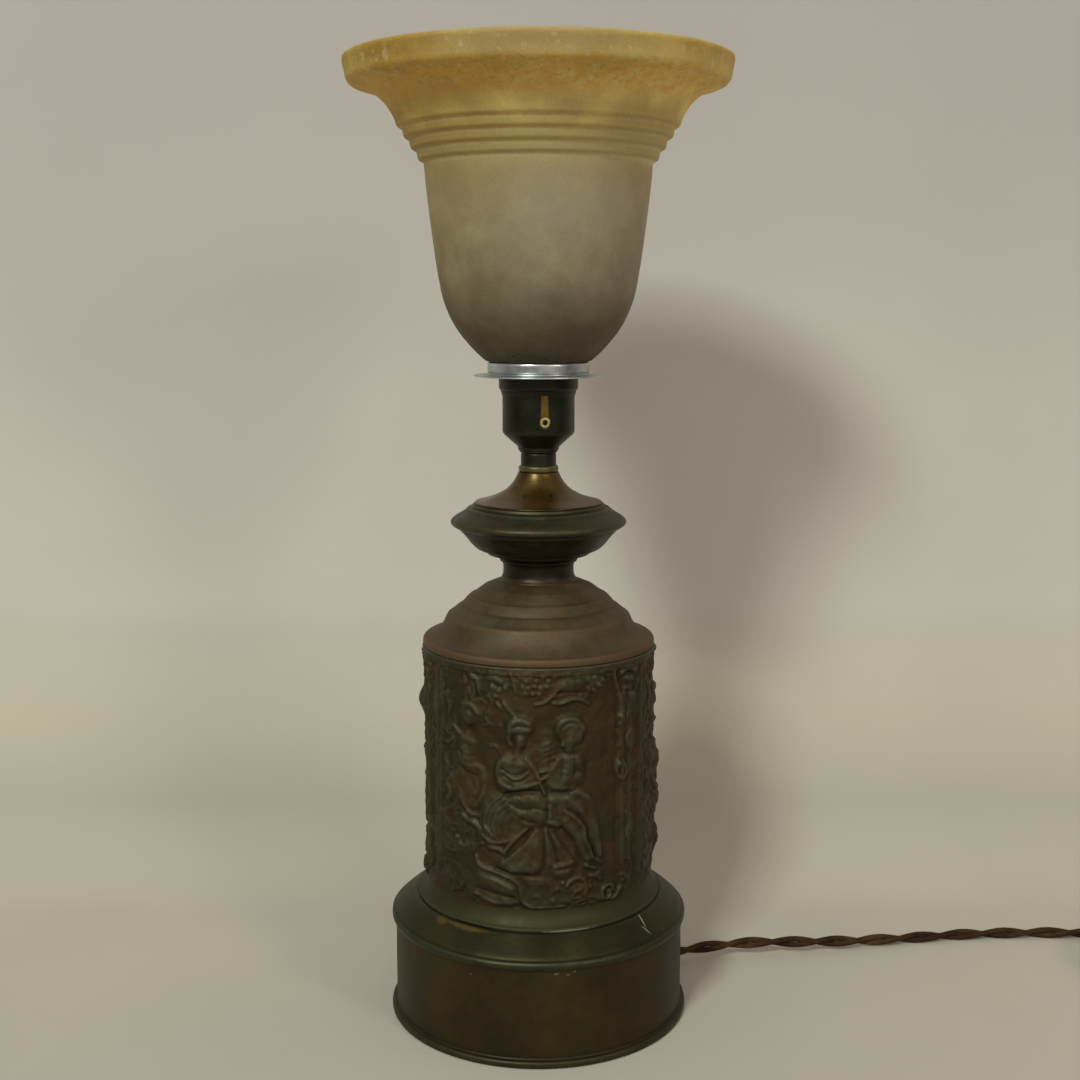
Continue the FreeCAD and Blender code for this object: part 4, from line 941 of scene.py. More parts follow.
# Each stroke: kind, height or depth, then its points of (angle, height above the table, half width).
# "plate" is a filled body: its second number says how far its edge is rounded, and its points have no width.
# "mass" is a rounded limb or fold, "ridge" a fine raised line, "cut" a groove.
strokes = [
    # lady
    ("plate", 1.7, 2.2, (-18.8, 157.5), (-15.5, 160), (-10.5, 159.4), (-6, 160), (-3.2, 157.8), (-1.6, 152.5),
     (0.6, 146), (1.6, 141.4), (-3, 141.8), (-9, 140.8), (-15, 138.8), (-19.6, 141), (-20.8, 147),
     (-20.4, 153)),
    ("plate", 1.8, 2, (-14.6, 171.6), (-15.2, 176), (-12.4, 179.4), (-8, 180.2), (-4, 179.6), (-2, 176.4),
     (-2.6, 172.6), (-5, 170.4), (-11, 170)),
    ("plate", 2.2, 3.4, (-15.5, 138), (-10, 140), (-2, 141), (2.8, 139), (4.4, 133), (3.8, 127), (1, 122),
     (-4, 121), (-9, 123), (-14, 128), (-17.4, 133)),
    ("plate", 1.25, 2.2, (-18, 141.5), (-24, 136.5), (-29, 127.5), (-31, 119), (-29.2, 113.6), (-25, 112),
     (-19, 111), (-12, 113.4), (-5, 120.6), (-9, 127), (-14, 136)),
    ("plate", 1.9, 1.6, (-1.6, 121.8), (-8, 114), (-14.6, 106), (-20.4, 101.6), (-19, 98.4), (-10, 96.8),
     (0.6, 96.3), (1.8, 105), (1.4, 114), (0.2, 121.6)),
    ("plate", 1.45, 1.6, (1.2, 122.6), (5.5, 121.4), (10.6, 117), (16, 108.6), (17.6, 103.4), (12, 103.6),
     (6, 101), (2, 97)),
    ("mass", 2.6, (-8.6, 168, 3.3), (-8.6, 165.4, 2.8)),
    ("cut", 0.5, (-10.4, 166.9, 0.55), (-9.6, 166.8, 0.5)),
    ("cut", 0.5, (-7.6, 166.8, 0.5), (-6.8, 166.9, 0.55)),
    ("ridge", 0.4, (-8.6, 167.6, 0.5), (-8.6, 165.6, 0.6)),
    ("cut", 0.35, (-9.3, 164.3, 0.35), (-7.9, 164.3, 0.35)),
    ("mass", 2.5, (-13.6, 172.4, 1.8), (-12.4, 176.4, 2.2), (-8.4, 178, 2.2), (-4.6, 176.6, 1.9)),
    ("mass", 2.2, (-11.4, 172.2, 1.6), (-8.4, 173, 1.7), (-4.6, 172.6, 1.6)),
    ("cut", 0.7, (-12, 174.3, 0.6), (-8.4, 175.3, 0.6), (-4.4, 174.6, 0.6)),
    ("cut", 0.5, (-10.8, 179, 0.5), (-9.6, 176, 0.5)), ("cut", 0.5, (-7.4, 179.4, 0.5), (-7, 176.4, 0.5)),
    ("mass", 1.1, (-10, 179, 1), (-12.5, 181.4, 0.9), (-15.2, 185.2, 0.7)),
    ("mass", 0.9, (-17.2, 183.2, 0.9), (-19.6, 185.2, 0.8)),
    ("mass", 1.9, (-13.4, 171, 1.4), (-14.2, 168, 1.3), (-13.2, 164.6, 1)),
    ("mass", 1.6, (-9.4, 163, 2), (-10.2, 159.4, 2.4)), ("mass", 2.3, (-16.8, 156.8, 2.4), (-13, 155.6, 2.6)),
    ("mass", 2.3, (-10.4, 155, 2.5), (-7, 155.4, 2.4)), ("mass", 2.4, (-12.6, 148.6, 3.8), (-11, 144.6, 3.6)),
    ("cut", 1.2, (-17.4, 152.6, 0.8), (-13.4, 149.8, 0.9), (-9, 149.8, 0.9), (-5.4, 152.6, 0.8)),
    ("cut", 1, (-16.4, 149.2, 0.7), (-12, 146.4, 0.8), (-8, 146.6, 0.8), (-4.8, 149.4, 0.7)),
    ("ridge", 0.7, (-17, 151.2, 0.7), (-12.6, 148.2, 0.7), (-8.4, 148.2, 0.7), (-5, 151.2, 0.7)),
    ("cut", 0.6, (-11.8, 157.6, 0.7), (-11.6, 153, 0.7)),
    ("mass", 2.6, (-18.4, 155.6, 1.9), (-19.4, 150, 1.9), (-18.2, 145.4, 1.9)),
    ("mass", 2.8, (-18.2, 145.2, 1.9), (-14, 142.5, 1.9), (-8, 143, 1.7), (-2, 145, 1.4), (0.8, 146, 1.2)),
    ("mass", 2.5, (-5.8, 158.4, 1.7), (-3, 154.6, 1.7), (-0.8, 150.2, 1.5), (0.4, 147.6, 1.3)),
    ("mass", 2.3, (0.2, 146.4, 1.2), (1.8, 143, 1.1), (3, 139.6, 0.9)),
    ("cut", 0.7, (-4.6, 156.6, 0.5), (-1.6, 151.4, 0.5)),
    ("mass", 2.9, (-11, 136.6, 3.6), (-5, 135.4, 3.8), (0.4, 136, 3.2)),
    ("mass", 2.6, (-9, 128.8, 3.4), (-2.6, 128, 3.8)),
    ("cut", 2, (-16, 138.4, 1), (-9, 140.7, 1.1), (-1, 141.2, 1)),
    ("cut", 0.9, (-13.4, 134.6, 0.7), (-7.4, 131.6, 0.8), (-1, 132.4, 0.8), (3.4, 131, 0.7)),
    ("cut", 0.8, (-12, 129.8, 0.7), (-6, 125.6, 0.7), (-1, 124.6, 0.7)),
    ("ridge", 0.7, (-9.4, 138.4, 0.8), (-6.4, 134.6, 0.8), (-5.8, 130, 0.8)),
    ("ridge", 0.6, (-3.4, 138.4, 0.8), (-2.2, 134, 0.8), (-2.8, 129.6, 0.8)),
    ("cut", 0.7, (1.6, 138, 0.6), (0.8, 133.6, 0.6), (-0.4, 127.6, 0.6)),
    ("cut", 0.7, (-18.6, 138.4, 0.5), (-24.6, 132.6, 0.5), (-27.4, 124.6, 0.5), (-26.4, 116.6, 0.5)),
    ("cut", 0.6, (-17.2, 137, 0.5), (-22.8, 130.8, 0.5), (-25.4, 122.8, 0.5), (-23.8, 115.4, 0.5)),
    ("cut", 0.7, (-15.8, 135.2, 0.5), (-20.8, 129.6, 0.5), (-23.2, 121.6, 0.5), (-21.2, 114.6, 0.5)),
    ("cut", 0.6, (-14.4, 133, 0.5), (-18.8, 127.8, 0.5), (-20.6, 120.4, 0.5), (-18.6, 114.4, 0.5)),
    ("cut", 0.7, (-12.8, 130.8, 0.5), (-16.4, 125.8, 0.5), (-17.8, 119.2, 0.5), (-15.8, 114.6, 0.5)),
    ("cut", 0.5, (-11.2, 128.2, 0.5), (-13.6, 123.4, 0.5), (-14.2, 118.2, 0.5)),
    ("ridge", 0.5, (-17.8, 137.9, 0.5), (-23.6, 131.8, 0.5), (-26.4, 123.6, 0.5), (-25.2, 116, 0.5)),
    ("ridge", 0.5, (-15.2, 134.2, 0.5), (-19.8, 128.8, 0.5), (-21.8, 121, 0.5), (-19.8, 114.6, 0.5)),
    ("mass", 2.2, (-26, 120.5, 1.1), (-21.8, 115.6, 1.1)),
    ("mass", 1.9, (-28.6, 116.4, 1), (-24.8, 113.8, 1)),
    ("mass", 1.7, (-28.5, 117.6, 1.1), (-26, 114.4, 1.2), (-21.5, 112.3, 1.3), (-15.6, 113.8, 1.3),
     (-8, 118.6, 1.2)),
    ("mass", 1.9, (-23.8, 109.8, 1.5), (-19, 109, 1.8), (-16.2, 107.4, 1.4)),
    ("cut", 1, (-21, 107, 0.7), (-16.6, 105, 0.7)),
    ("cut", 0.45, (-3, 117.6, 0.4), (-6.6, 108, 0.5), (-11.4, 99.6, 0.6)),
    ("cut", 0.6, (-1.8, 119.2, 0.4), (-2.6, 108, 0.5), (-3.8, 98, 0.6)),
    ("cut", 0.5, (-5.2, 116.4, 0.4), (-11, 106.6, 0.5), (-15.4, 101, 0.5)),
    ("cut", 2.1, (-20.6, 98, 0.9), (-10, 96, 0.9), (0.9, 95.8, 0.9)),
    ("mass", 2.5, (-5.6, 121.2, 1.2), (-11, 115.3, 1.3), (-16.6, 108.2, 1.1)),
    ("cut", 1.6, (-2.8, 120.2, 0.7), (-9.2, 111.8, 0.9), (-16, 105.2, 0.8)),
    ("mass", 2, (3, 119.6, 1.5), (4.4, 111, 1.9), (5.4, 102.6, 1.8)),
    ("mass", 1.9, (6.6, 117, 1.7), (10.4, 110.4, 2), (13.6, 105, 1.8)),
    ("cut", 1.3, (2.2, 122.4, 0.6), (2.6, 112, 0.7), (2.6, 99, 0.7)),
    ("cut", 1.2, (4.4, 121.4, 0.7), (7.2, 112, 0.9), (9.2, 103.2, 0.9)),
    ("cut", 1.3, (7.6, 119.6, 0.7), (12.4, 112, 0.8), (17.2, 103.6, 0.8)),
    # companion
    ("plate", 1.75, 2.2, (9, 159.8), (14, 161), (19.5, 160.4), (22.4, 157), (22.8, 150), (21.6, 144.2),
     (17, 142), (12, 141), (6, 141.2), (2.8, 145.6), (3.4, 151), (6.4, 156)),
    ("plate", 1.9, 3, (7.2, 171.6), (7.4, 176), (10, 179.2), (14.5, 180.4), (18.8, 179.6), (22, 176.6),
     (23.2, 172.4), (21.6, 168.2), (19, 165), (14, 164), (10.6, 167)),
    ("plate", 1.3, 2.4, (5, 139.8), (14, 141), (19, 142.2), (24, 138.8), (27.8, 133), (29.8, 124),
     (31.2, 114), (32, 105), (28.6, 101.6), (24, 101.6), (20.2, 106), (18.2, 113), (14.6, 119), (10, 124),
     (5.8, 127), (4.4, 133)),
    ("plate", 1.2, 1, (2, 166.8), (6.4, 168.4), (9.6, 161.6), (8.4, 156), (4.2, 152.4), (1.2, 155.4),
     (0.4, 161)),
    ("mass", 2.5, (15.4, 170, 4), (14.6, 165.6, 3.2)), ("mass", 1.6, (14.4, 163, 2.4), (14.2, 160.4, 2.8)),
    ("cut", 0.5, (13, 168.8, 0.6), (14, 168.7, 0.5)), ("cut", 0.5, (16.2, 168.7, 0.5), (17.2, 168.8, 0.6)),
    ("ridge", 0.4, (15.1, 169.2, 0.5), (15, 167, 0.6)),
    ("cut", 0.35, (14.2, 165.5, 0.35), (15.7, 165.5, 0.35)),
    ("mass", 2.6, (8.8, 172.4, 1.7), (9.8, 176.2, 2), (13.6, 178.4, 2.1), (18, 177.4, 2), (21.2, 173.2, 1.7)),
    ("mass", 2.4, (11.6, 173.6, 1.5), (15, 175.4, 1.5), (18.4, 173.8, 1.5)),
    ("cut", 0.6, (10.6, 173.8, 0.5), (13.8, 176.6, 0.5), (18, 176.2, 0.5), (20.2, 173, 0.5)),
    ("mass", 2.3, (10.8, 170, 1.3), (11.6, 167, 1.2), (11.2, 164.4, 0.9)),
    ("mass", 2, (20.2, 170.4, 1.5), (20, 166.8, 1.2)),
    ("cut", 1.3, (12, 161, 0.8), (16.5, 160.2, 0.8), (20.4, 161.2, 0.8)),
    ("mass", 2.4, (13.4, 157, 3.6), (12.8, 150.6, 3.8), (12.4, 145.6, 3.6)),
    ("mass", 2.5, (9.2, 157.4, 2), (6.8, 153.2, 1.9), (4.2, 149, 1.6)),
    ("mass", 2.8, (18.2, 158, 2.2), (20.6, 153.6, 2.2), (20.2, 148.8, 2.1), (16.4, 146.6, 1.9),
     (12.4, 147.4, 1.7)),
    ("cut", 1.4, (16.2, 157.6, 0.7), (17.4, 153, 0.8), (17.2, 149.6, 0.7)),
    ("mass", 3, (14.4, 148.4, 1), (14.5, 148.2, 1)), ("ridge", 1, (16.2, 159.4, 0.8), (16.2, 155.6, 0.8)),
    ("cut", 0.8, (11.4, 159, 0.6), (11, 153, 0.7), (10.6, 146.6, 0.6)),
    ("ridge", 0.5, (9, 152, 0.8), (13.6, 150.8, 0.8)), ("cut", 0.6, (19, 155, 0.5), (21.8, 153.6, 0.5)),
    ("cut", 0.6, (18.6, 151.4, 0.5), (21.6, 149.6, 0.5)), ("cut", 0.6, (1.8, 163.4, 0.45), (7.8, 166, 0.45)),
    ("cut", 0.6, (1.4, 160.6, 0.45), (8.4, 163.4, 0.45)),
    ("cut", 0.6, (1.8, 157.8, 0.45), (8.4, 160.6, 0.45)),
    ("cut", 0.6, (3.2, 155.2, 0.45), (8.2, 157.6, 0.45)), ("cut", 0.5, (3.4, 167, 0.45), (2.4, 156, 0.45)),
    ("cut", 0.5, (5.8, 167.8, 0.45), (5.2, 154, 0.45)), ("mass", 2.1, (1.4, 151.6, 1.4), (4, 152.2, 1.3)),
    ("mass", 2.2, (3.8, 149, 1.3), (1.4, 147.4, 1.2)), ("mass", 2.3, (7, 143.8, 1.8), (12.8, 142.8, 1.9)),
    ("cut", 1.5, (6.4, 140.8, 0.8), (13.6, 140.2, 0.8), (18, 141.6, 0.7)),
    ("mass", 2, (16.4, 141.6, 2.6), (20.4, 138.8, 2.7), (24, 136, 2.2)),
    ("mass", 2.2, (6.4, 136.4, 3), (11, 136.4, 3)),
    ("mass", 2.5, (14, 136.6, 3.4), (19.4, 132, 3.2), (22, 128.6, 2.8)),
    ("mass", 2.8, (20.8, 129.9, 2.2), (21.4, 129.2, 2.1)),
    ("mass", 2.5, (5.4, 133.5, 1.4), (5.4, 127.4, 1.3)), ("mass", 2.4, (5.3, 125, 2), (9.2, 123, 2.1)),
    ("cut", 1, (8.2, 133.4, 0.7), (8.6, 127.4, 0.7)),
    ("mass", 2, (12.6, 124.6, 3.2), (17.6, 118.4, 3), (21.4, 110.4, 2.6), (24, 103.6, 2.2)),
    ("mass", 2.4, (12.3, 130.5, 0.9), (17.5, 126.2, 1), (21.8, 120.8, 1), (22.5, 115, 1), (24.9, 109, 1),
     (26.8, 103.6, 0.9)),
    ("cut", 1.5, (14, 131.4, 0.7), (19.6, 127, 0.8), (23.9, 121, 0.8), (24.6, 115.2, 0.8), (27, 109.2, 0.8),
     (28.8, 104, 0.7)),
    ("mass", 1.9, (25, 128, 2.2), (27.8, 121, 2.1), (29.4, 113, 1.9), (30.6, 104, 1.6)),
    ("cut", 1.3, (10.6, 121.6, 0.7), (15, 116.2, 0.8), (18.2, 109, 0.8), (20.6, 102.6, 0.8)),
    ("mass", 2, (23.6, 99.8, 1.6), (27.8, 97.8, 1.6)), ("mass", 1.7, (29.4, 101.8, 1.4), (32, 99.8, 1.3)),
    # animal
    ("plate", 1.5, 1.8, (6.2, 102.4), (10, 103.8), (14, 105.2), (17.4, 104.4), (19.2, 101.6), (16.4, 98.4),
     (15.4, 94.2), (8.4, 93.8), (7, 97.6)),
    ("mass", 2.2, (7.8, 100.6, 1.8), (11, 101.4, 2), (15, 102, 1.9)),
    ("mass", 2.4, (15.8, 103.2, 1.6), (16.6, 102.8, 1.5)), ("mass", 1.9, (9.6, 97.4, 1.8), (14.3, 97.8, 1.8)),
    ("cut", 0.8, (8.6, 99.3, 0.5), (14.8, 99.6, 0.5)), ("cut", 0.6, (10.6, 102.6, 0.5), (10.2, 99.8, 0.5)),
    ("cut", 0.6, (13.2, 103, 0.5), (12.8, 100, 0.5)), ("mass", 2.5, (11.6, 91.8, 1.3), (11.7, 91.7, 1.3)),
    # ground
    ("plate", 0.95, 3.4, (-34, 101), (-28, 99), (-20, 97), (-14.5, 94.4), (-10, 90.6), (-8.8, 86),
     (-7.6, 81.4), (-12, 79), (-20, 78.4), (-30, 79.4), (-38, 82.6), (-38, 92)),
    ("plate", 0.6, 2.4, (-8, 81), (-8.6, 88), (-5, 95.4), (2, 95.6), (8, 93.6), (13, 90), (15, 85), (12, 79),
     (0, 77.6)),
    ("plate", 0.9, 1.4, (12.6, 90), (15, 93.6), (19, 95), (23.4, 93.2), (24.6, 88.5), (23.9, 84),
     (20.4, 83.6), (16.6, 86.6)),
    ("mass", 1.9, (-31.6, 104, 1), (-30, 100, 1.2), (-26, 98, 1.3), (-18, 96.2, 1.4), (-13, 93.9, 1.3),
     (-9.6, 90.6, 1.2), (-8.4, 86, 1.2), (-7, 81.5, 1.2), (-3, 78.8, 1.2)),
    ("mass", 1.2, (-3, 78.9, 1.1), (4, 78.5, 1.1), (12, 79, 1.1)),
    ("mass", 1.7, (-27, 91.3, 3.8), (-20, 89.6, 4.4), (-14.2, 87.4, 3.2)),
    ("ridge", 0.5, (-30, 94.4, 1), (-20, 92, 1.2), (-12.5, 88.6, 1)),
    ("cut", 0.8, (-31, 86.6, 0.9), (-20, 84.8, 0.9), (-11, 83.6, 0.8)),
    ("mass", 1.6, (-32, 83.4, 1.2), (-25, 81.4, 1.3), (-21, 80, 1.1)),
    ("mass", 1.5, (-20, 79.8, 1.1), (-10, 81.2, 1.2)),
    ("mass", 1.8, (13.3, 89.8, 1.1), (16, 92.8, 1.3), (19, 93.8, 1.4), (22.6, 92, 1.3), (23.6, 88, 1.2),
     (22.7, 84.6, 1)),
    ("cut", 0.7, (15.4, 89.2, 0.6), (18, 91.4, 0.6), (21.4, 90.4, 0.6)),
    ("mass", 1.5, (17.6, 86.6, 1.2), (21.2, 87.4, 1.3)), ("mass", 1.4, (17.6, 82.6, 0.9), (20.6, 82.6, 0.8)),
    ("mass", 1.5, (6.5, 88.6, 1.1), (5.9, 85.4, 0.9)), ("mass", 1.5, (7.4, 87, 0.9), (9.4, 88.8, 0.8)),
    ("mass", 1.4, (6.6, 83.4, 1), (7.6, 81.2, 0.8)), ("mass", 1.1, (25.8, 93.8, 1.3), (31, 92.2, 1.5)),
    ("mass", 1.2, (26.4, 82.2, 1.3), (32, 80.4, 1.3)), ("ridge", 0.4, (26, 88, 1.2), (31.6, 87, 1.2)),
    ("mass", 2.1, (38.5, 83.3, 1.2), (37.8, 86.2, 1.2), (35, 87.2, 1.2), (32.4, 85.2, 1.2), (32.2, 81.6, 1.2),
     (34.6, 79.8, 1), (36.9, 81.4, 1), (36.2, 83.7, 1)),
    ("mass", 2.1, (37.5, 78.9, 1), (41, 80.5, 1.2), (44, 83.8, 1.2)),
    # child
    ("plate", 0.95, 3, (-42, 168), (-36, 169.6), (-31.4, 166.6), (-31.2, 160), (-33, 153), (-37, 151),
     (-41.4, 155), (-43, 161)),
    ("plate", 1.2, 3, (-40.4, 178), (-39.6, 183.6), (-35, 186), (-30.4, 183), (-28.6, 178), (-31, 173.6),
     (-36, 171.6), (-39.6, 173.4)),
    ("plate", 0.75, 3.4, (-44.4, 157), (-40, 153.5), (-34, 152.5), (-28, 151.8), (-25.2, 146), (-24.8, 140),
     (-27.4, 133.4), (-32, 128.6), (-38, 127.6), (-42.4, 133), (-46.4, 141), (-47, 150)),
    ("plate", 0.4, 3, (-56, 126), (-50, 128.6), (-42, 127), (-36, 125), (-30, 123), (-28.8, 117),
     (-33, 112.6), (-36, 104), (-42, 101.4), (-50, 103), (-57, 108)),
    ("plate", 0.4, 3.4, (-57, 99.4), (-48, 99), (-40, 96.6), (-34, 92), (-36, 83), (-44, 79.6), (-54, 80.4),
     (-58, 88)),
    ("mass", 2.2, (-38.6, 183.6, 1.9), (-33.5, 183.4, 2), (-29.9, 179.6, 1.8)),
    ("mass", 2.4, (-35.2, 178, 3.4), (-35.2, 175, 3)), ("cut", 0.4, (-36.9, 176.8, 0.5), (-36.2, 176.8, 0.5)),
    ("cut", 0.4, (-34.4, 176.8, 0.5), (-33.7, 176.8, 0.5)),
    ("ridge", 0.35, (-35.3, 177.2, 0.5), (-35.3, 175.6, 0.5)),
    ("mass", 1.9, (-45.4, 171.5, 1), (-42, 168.4, 1.2), (-38.4, 166, 1.5)),
    ("mass", 2.4, (-38, 165.6, 2), (-33.5, 163.8, 2.2)),
    ("mass", 1.8, (-37.6, 160.5, 2.8), (-37.2, 156, 2.8)),
    ("cut", 0.7, (-40.6, 158, 0.7), (-36, 156.4, 0.7), (-33, 157, 0.6)),
    ("mass", 1.5, (-42, 157.4, 1.2), (-39.5, 153.5, 1.3), (-36, 151.2, 1.6), (-31, 151.6, 1.7),
     (-28, 150, 1.8), (-26.8, 146, 1.7), (-26.4, 141, 1.6), (-28.4, 135.4, 1.4), (-31.4, 130.2, 1.2)),
    ("mass", 1.5, (-42.4, 146, 2.6), (-36, 142, 3), (-32, 137, 2.4)),
    ("cut", 0.8, (-42, 150.6, 0.8), (-36, 147.4, 0.9), (-30.4, 147.2, 0.8)),
    ("cut", 0.7, (-44.4, 141.4, 0.8), (-39, 138, 0.9), (-35.4, 133, 0.8)),
    ("ridge", 0.6, (-45.4, 144.6, 0.9), (-42.6, 138.6, 1), (-38.6, 132.6, 0.9)),
    ("ridge", 0.6, (-31.6, 145.6, 0.9), (-30.4, 141, 1), (-31.8, 135.6, 0.9)),
    ("mass", 1.7, (-40.4, 133.4, 1.2), (-37.5, 128.8, 1.3), (-34.5, 126, 1.3), (-30.4, 126, 1.1)),
    ("mass", 1.9, (-39.4, 124.4, 1.6), (-36, 122.2, 1.9), (-32, 121.8, 1.9), (-28.4, 118.6, 1.4)),
    ("cut", 1.1, (-37.6, 119.4, 0.8), (-32.4, 117.6, 0.9), (-30.4, 111, 0.9), (-30.6, 104.6, 0.8)),
    ("mass", 1.7, (-43, 111.3, 1.6), (-42.9, 111.2, 1.6)),
    ("mass", 2.4, (-43.2, 111.4, 0.9), (-43.1, 111.3, 0.9)),
    ("mass", 1.7, (-41, 108.8, 1.1), (-39.8, 107.6, 0.8)),
    ("mass", 1.6, (-45, 108.9, 1.1), (-46.4, 107.6, 0.8)),
    ("mass", 1.6, (-45.2, 113.8, 1.1), (-46.6, 115.2, 0.8)),
    ("mass", 1.6, (-41, 114, 1.1), (-40, 115.6, 0.8)),
    ("mass", 1.4, (-53, 111, 1.2), (-49, 110, 1.8), (-46.6, 109, 1.2)),
    ("cut", 0.6, (-52, 110.6, 0.4), (-47.6, 109.4, 0.4)),
    ("mass", 1.4, (-57, 121.4, 1.1), (-52, 123.8, 1.3), (-47, 126.2, 1.3), (-44, 129.4, 1)),
    ("mass", 1.3, (-50, 119.6, 1.1), (-46.6, 117.4, 1.3), (-43.4, 118.6, 1)),
    ("mass", 1.4, (-38.6, 114.4, 1.3), (-35.8, 116, 1)),
    ("mass", 1.4, (-38.6, 107.2, 1.2), (-35.4, 109.4, 1)),
    ("mass", 1.6, (-41.4, 82.8, 1.1), (-40.4, 85.4, 1.3), (-38.2, 88, 1)),
    ("mass", 1.4, (-47, 81.6, 1.1), (-42, 83.4, 1.2)),
    ("mass", 1, (-57, 94.6, 1.1), (-50, 96.8, 1.4), (-43, 95.2, 1.4), (-39, 91.2, 1.2), (-37.5, 87, 1)),
    ("mass", 1.2, (-53, 89.6, 2.2), (-46.6, 88.4, 2.4)), ("cut", 1.3, (-42.6, 98.4, 0.9), (-40.8, 97.4, 0.9)),
    ("cut", 1.2, (-36.6, 95.4, 0.9), (-35.6, 94.6, 0.9)),
    ("mass", 1.3, (-53, 104.4, 1.2), (-47.6, 102.6, 1.4), (-44, 103.6, 1)),
    ("mass", 1.5, (-59, 158, 1), (-55, 160.3, 1.2), (-49, 161.2, 1.3), (-45, 164, 1)),
    ("mass", 1.4, (-50.6, 139, 1.1), (-47.6, 134.6, 1.3), (-49.4, 129.8, 1)),
    ("mass", 1.4, (-52, 152.4, 1.2), (-49.4, 148.4, 1.3), (-50.6, 143.6, 1)),
    ("mass", 1.3, (-49.6, 175.4, 1), (-47.2, 180.6, 1.2), (-49.2, 186.4, 1)),
    ("ridge", 0.4, (-24, 174.2, 0.8), (-17.4, 174.6, 0.8)),
    # garland
    ("plate", 0.6, 3.4, (-31, 202), (-31.6, 198), (-27, 192.6), (-20, 188.6), (-15.4, 191), (-12, 190),
     (-8.6, 190.6), (4, 190.2), (9, 192), (22.6, 190.6), (31, 191.4), (33, 199), (30, 202.6)),
    ("mass", 1.8, (-33.4, 199.3, 1.5), (-30, 197.3, 1.6), (-28.8, 190, 1.2)),
    ("mass", 2, (-25, 199, 1.9), (-21, 199.4, 2.1), (-17.5, 197.2, 1.9)),
    ("mass", 2.2, (-22.5, 194.5, 2), (-22.3, 194.4, 2)),
    ("mass", 2.2, (-18.8, 193.2, 1.9), (-18.7, 193.1, 1.9)),
    ("mass", 2, (-15.6, 194.4, 1.8), (-15.5, 194.3, 1.8)),
    ("mass", 2, (-20.6, 190, 1.7), (-20.4, 189.8, 1.7)), ("mass", 1.7, (-19.8, 186, 1.3), (-18, 184.6, 1)),
    ("mass", 1.6, (-16.4, 186.6, 1.2), (-13.6, 182.6, 1)),
    ("mass", 1.7, (-12.8, 202, 1), (-11.4, 197, 1.1), (-10.6, 192.6, 1)),
    ("mass", 1.8, (10.6, 196.2, 2.8), (15, 197.6, 3.2), (20.6, 196.2, 2.8)),
    ("cut", 1.6, (9, 192.2, 0.8), (15, 192.3, 0.8), (22, 191.6, 0.8)),
    ("cut", 0.8, (12, 200, 0.6), (14.4, 195.4, 0.6)), ("cut", 0.8, (16.6, 200.6, 0.6), (18, 195, 0.6)),
    ("mass", 1.8, (12.4, 197.5, 1.2), (9, 193.5, 1.3), (6, 190, 1.3), (2.5, 187.3, 1.2), (-1.5, 186.2, 1)),
    ("mass", 1.8, (7, 187, 1.2), (10.5, 186.6, 1.3), (14, 188, 1.3), (18, 188.6, 1.3), (22, 187.2, 1.2),
     (25, 185, 0.9)),
    *[("mass", 2, (a, z, 1.5), (a + 0.3, z - 0.2, 1.4)) for a, z in (  # grapes
        (-8.6, 200.2), (-6, 198.4), (-3.4, 200.4), (-0.8, 198.6), (2, 200.6), (4.8, 198.6), (7.4, 200.4),
        (-7.4, 195.6), (-4.6, 194.8), (-1.8, 195.8), (1, 194.8), (3.8, 195.6), (-5.8, 192), (-2.8, 191.8),
        (0.4, 191.8))],
    *[("mass", 1.8, (a, z, 1.5), (a + 1.2, z - 1.1, 0.9)) for a, z in (
        (23.5, 198.5), (25.5, 196), (27.8, 199), (29.2, 195), (26.6, 192.6), (31.5, 197.6), (24, 193.6),
        (30.8, 201))],
    # pillars
    ("plate", 0.6, 3.6, (-58.6, 200), (-50.6, 200), (-51.4, 175), (-53, 150), (-54.4, 120), (-55.6, 86),
     (-62, 86), (-61.4, 120), (-60.4, 150), (-59.4, 175)),
    ("plate", 0.7, 2.8, (41.6, 200), (53, 200), (53, 86), (41.6, 86)),
    ("mass", 1.1, (-57.6, 198, 2.4), (-58.4, 150, 2.6), (-60, 90, 2.6)),
    ("mass", 0.9, (-53, 198, 1.4), (-54.6, 150, 1.6), (-57, 90, 1.6)),
    ("cut", 0.5, (-50.4, 198, 0.9), (-51.6, 172, 0.9), (-53.2, 148, 0.9)),
    ("cut", 1.2, (39.8, 188, 1), (40.6, 176, 1), (40.6, 156, 1)), ("cut", 1.2, (40.4, 140, 1), (40.4, 90, 1)),
    ("mass", 1.6, (44.6, 188, 1.3), (44.6, 90, 1.4)), ("mass", 1.6, (49.6, 188, 1.3), (49.6, 90, 1.4)),
    ("mass", 1.9, (38.8, 201, 1), (39.5, 196, 1.1), (42.3, 188, 1.1), (43.3, 178, 1), (43.4, 160, 0.9)),
    ("mass", 2.2, (41, 153, 1.2), (40.4, 149, 1.4), (42, 144.4, 1.4), (45, 142.4, 1.4), (47.4, 146, 1.4),
     (45.6, 150.4, 1.2)),
    ("mass", 2.8, (41.7, 151.4, 1.8), (41.8, 150.8, 1.8)), ("mass", 2.6, (42.5, 176.5, 2), (42.7, 176.1, 2)),
    ("mass", 2, (42.2, 172.3, 1.3), (42.2, 171.8, 1.3)), ("mass", 2.2, (51.2, 186.3, 1.9), (51.6, 186, 1.9)),
    ("mass", 1.9, (47, 139, 1.3), (47, 138.6, 1.3)), ("mass", 1.9, (46.7, 131.8, 1.3), (46.7, 131.4, 1.3)),
    ("mass", 2.5, (43.6, 199, 1.7), (48, 201, 1.9), (52.4, 199, 1.7)),
    ("mass", 2.4, (47, 195.6, 2.2), (50, 195, 2.2)), ("mass", 1.9, (45.6, 190.6, 1.4), (49.4, 190.2, 1.5)),
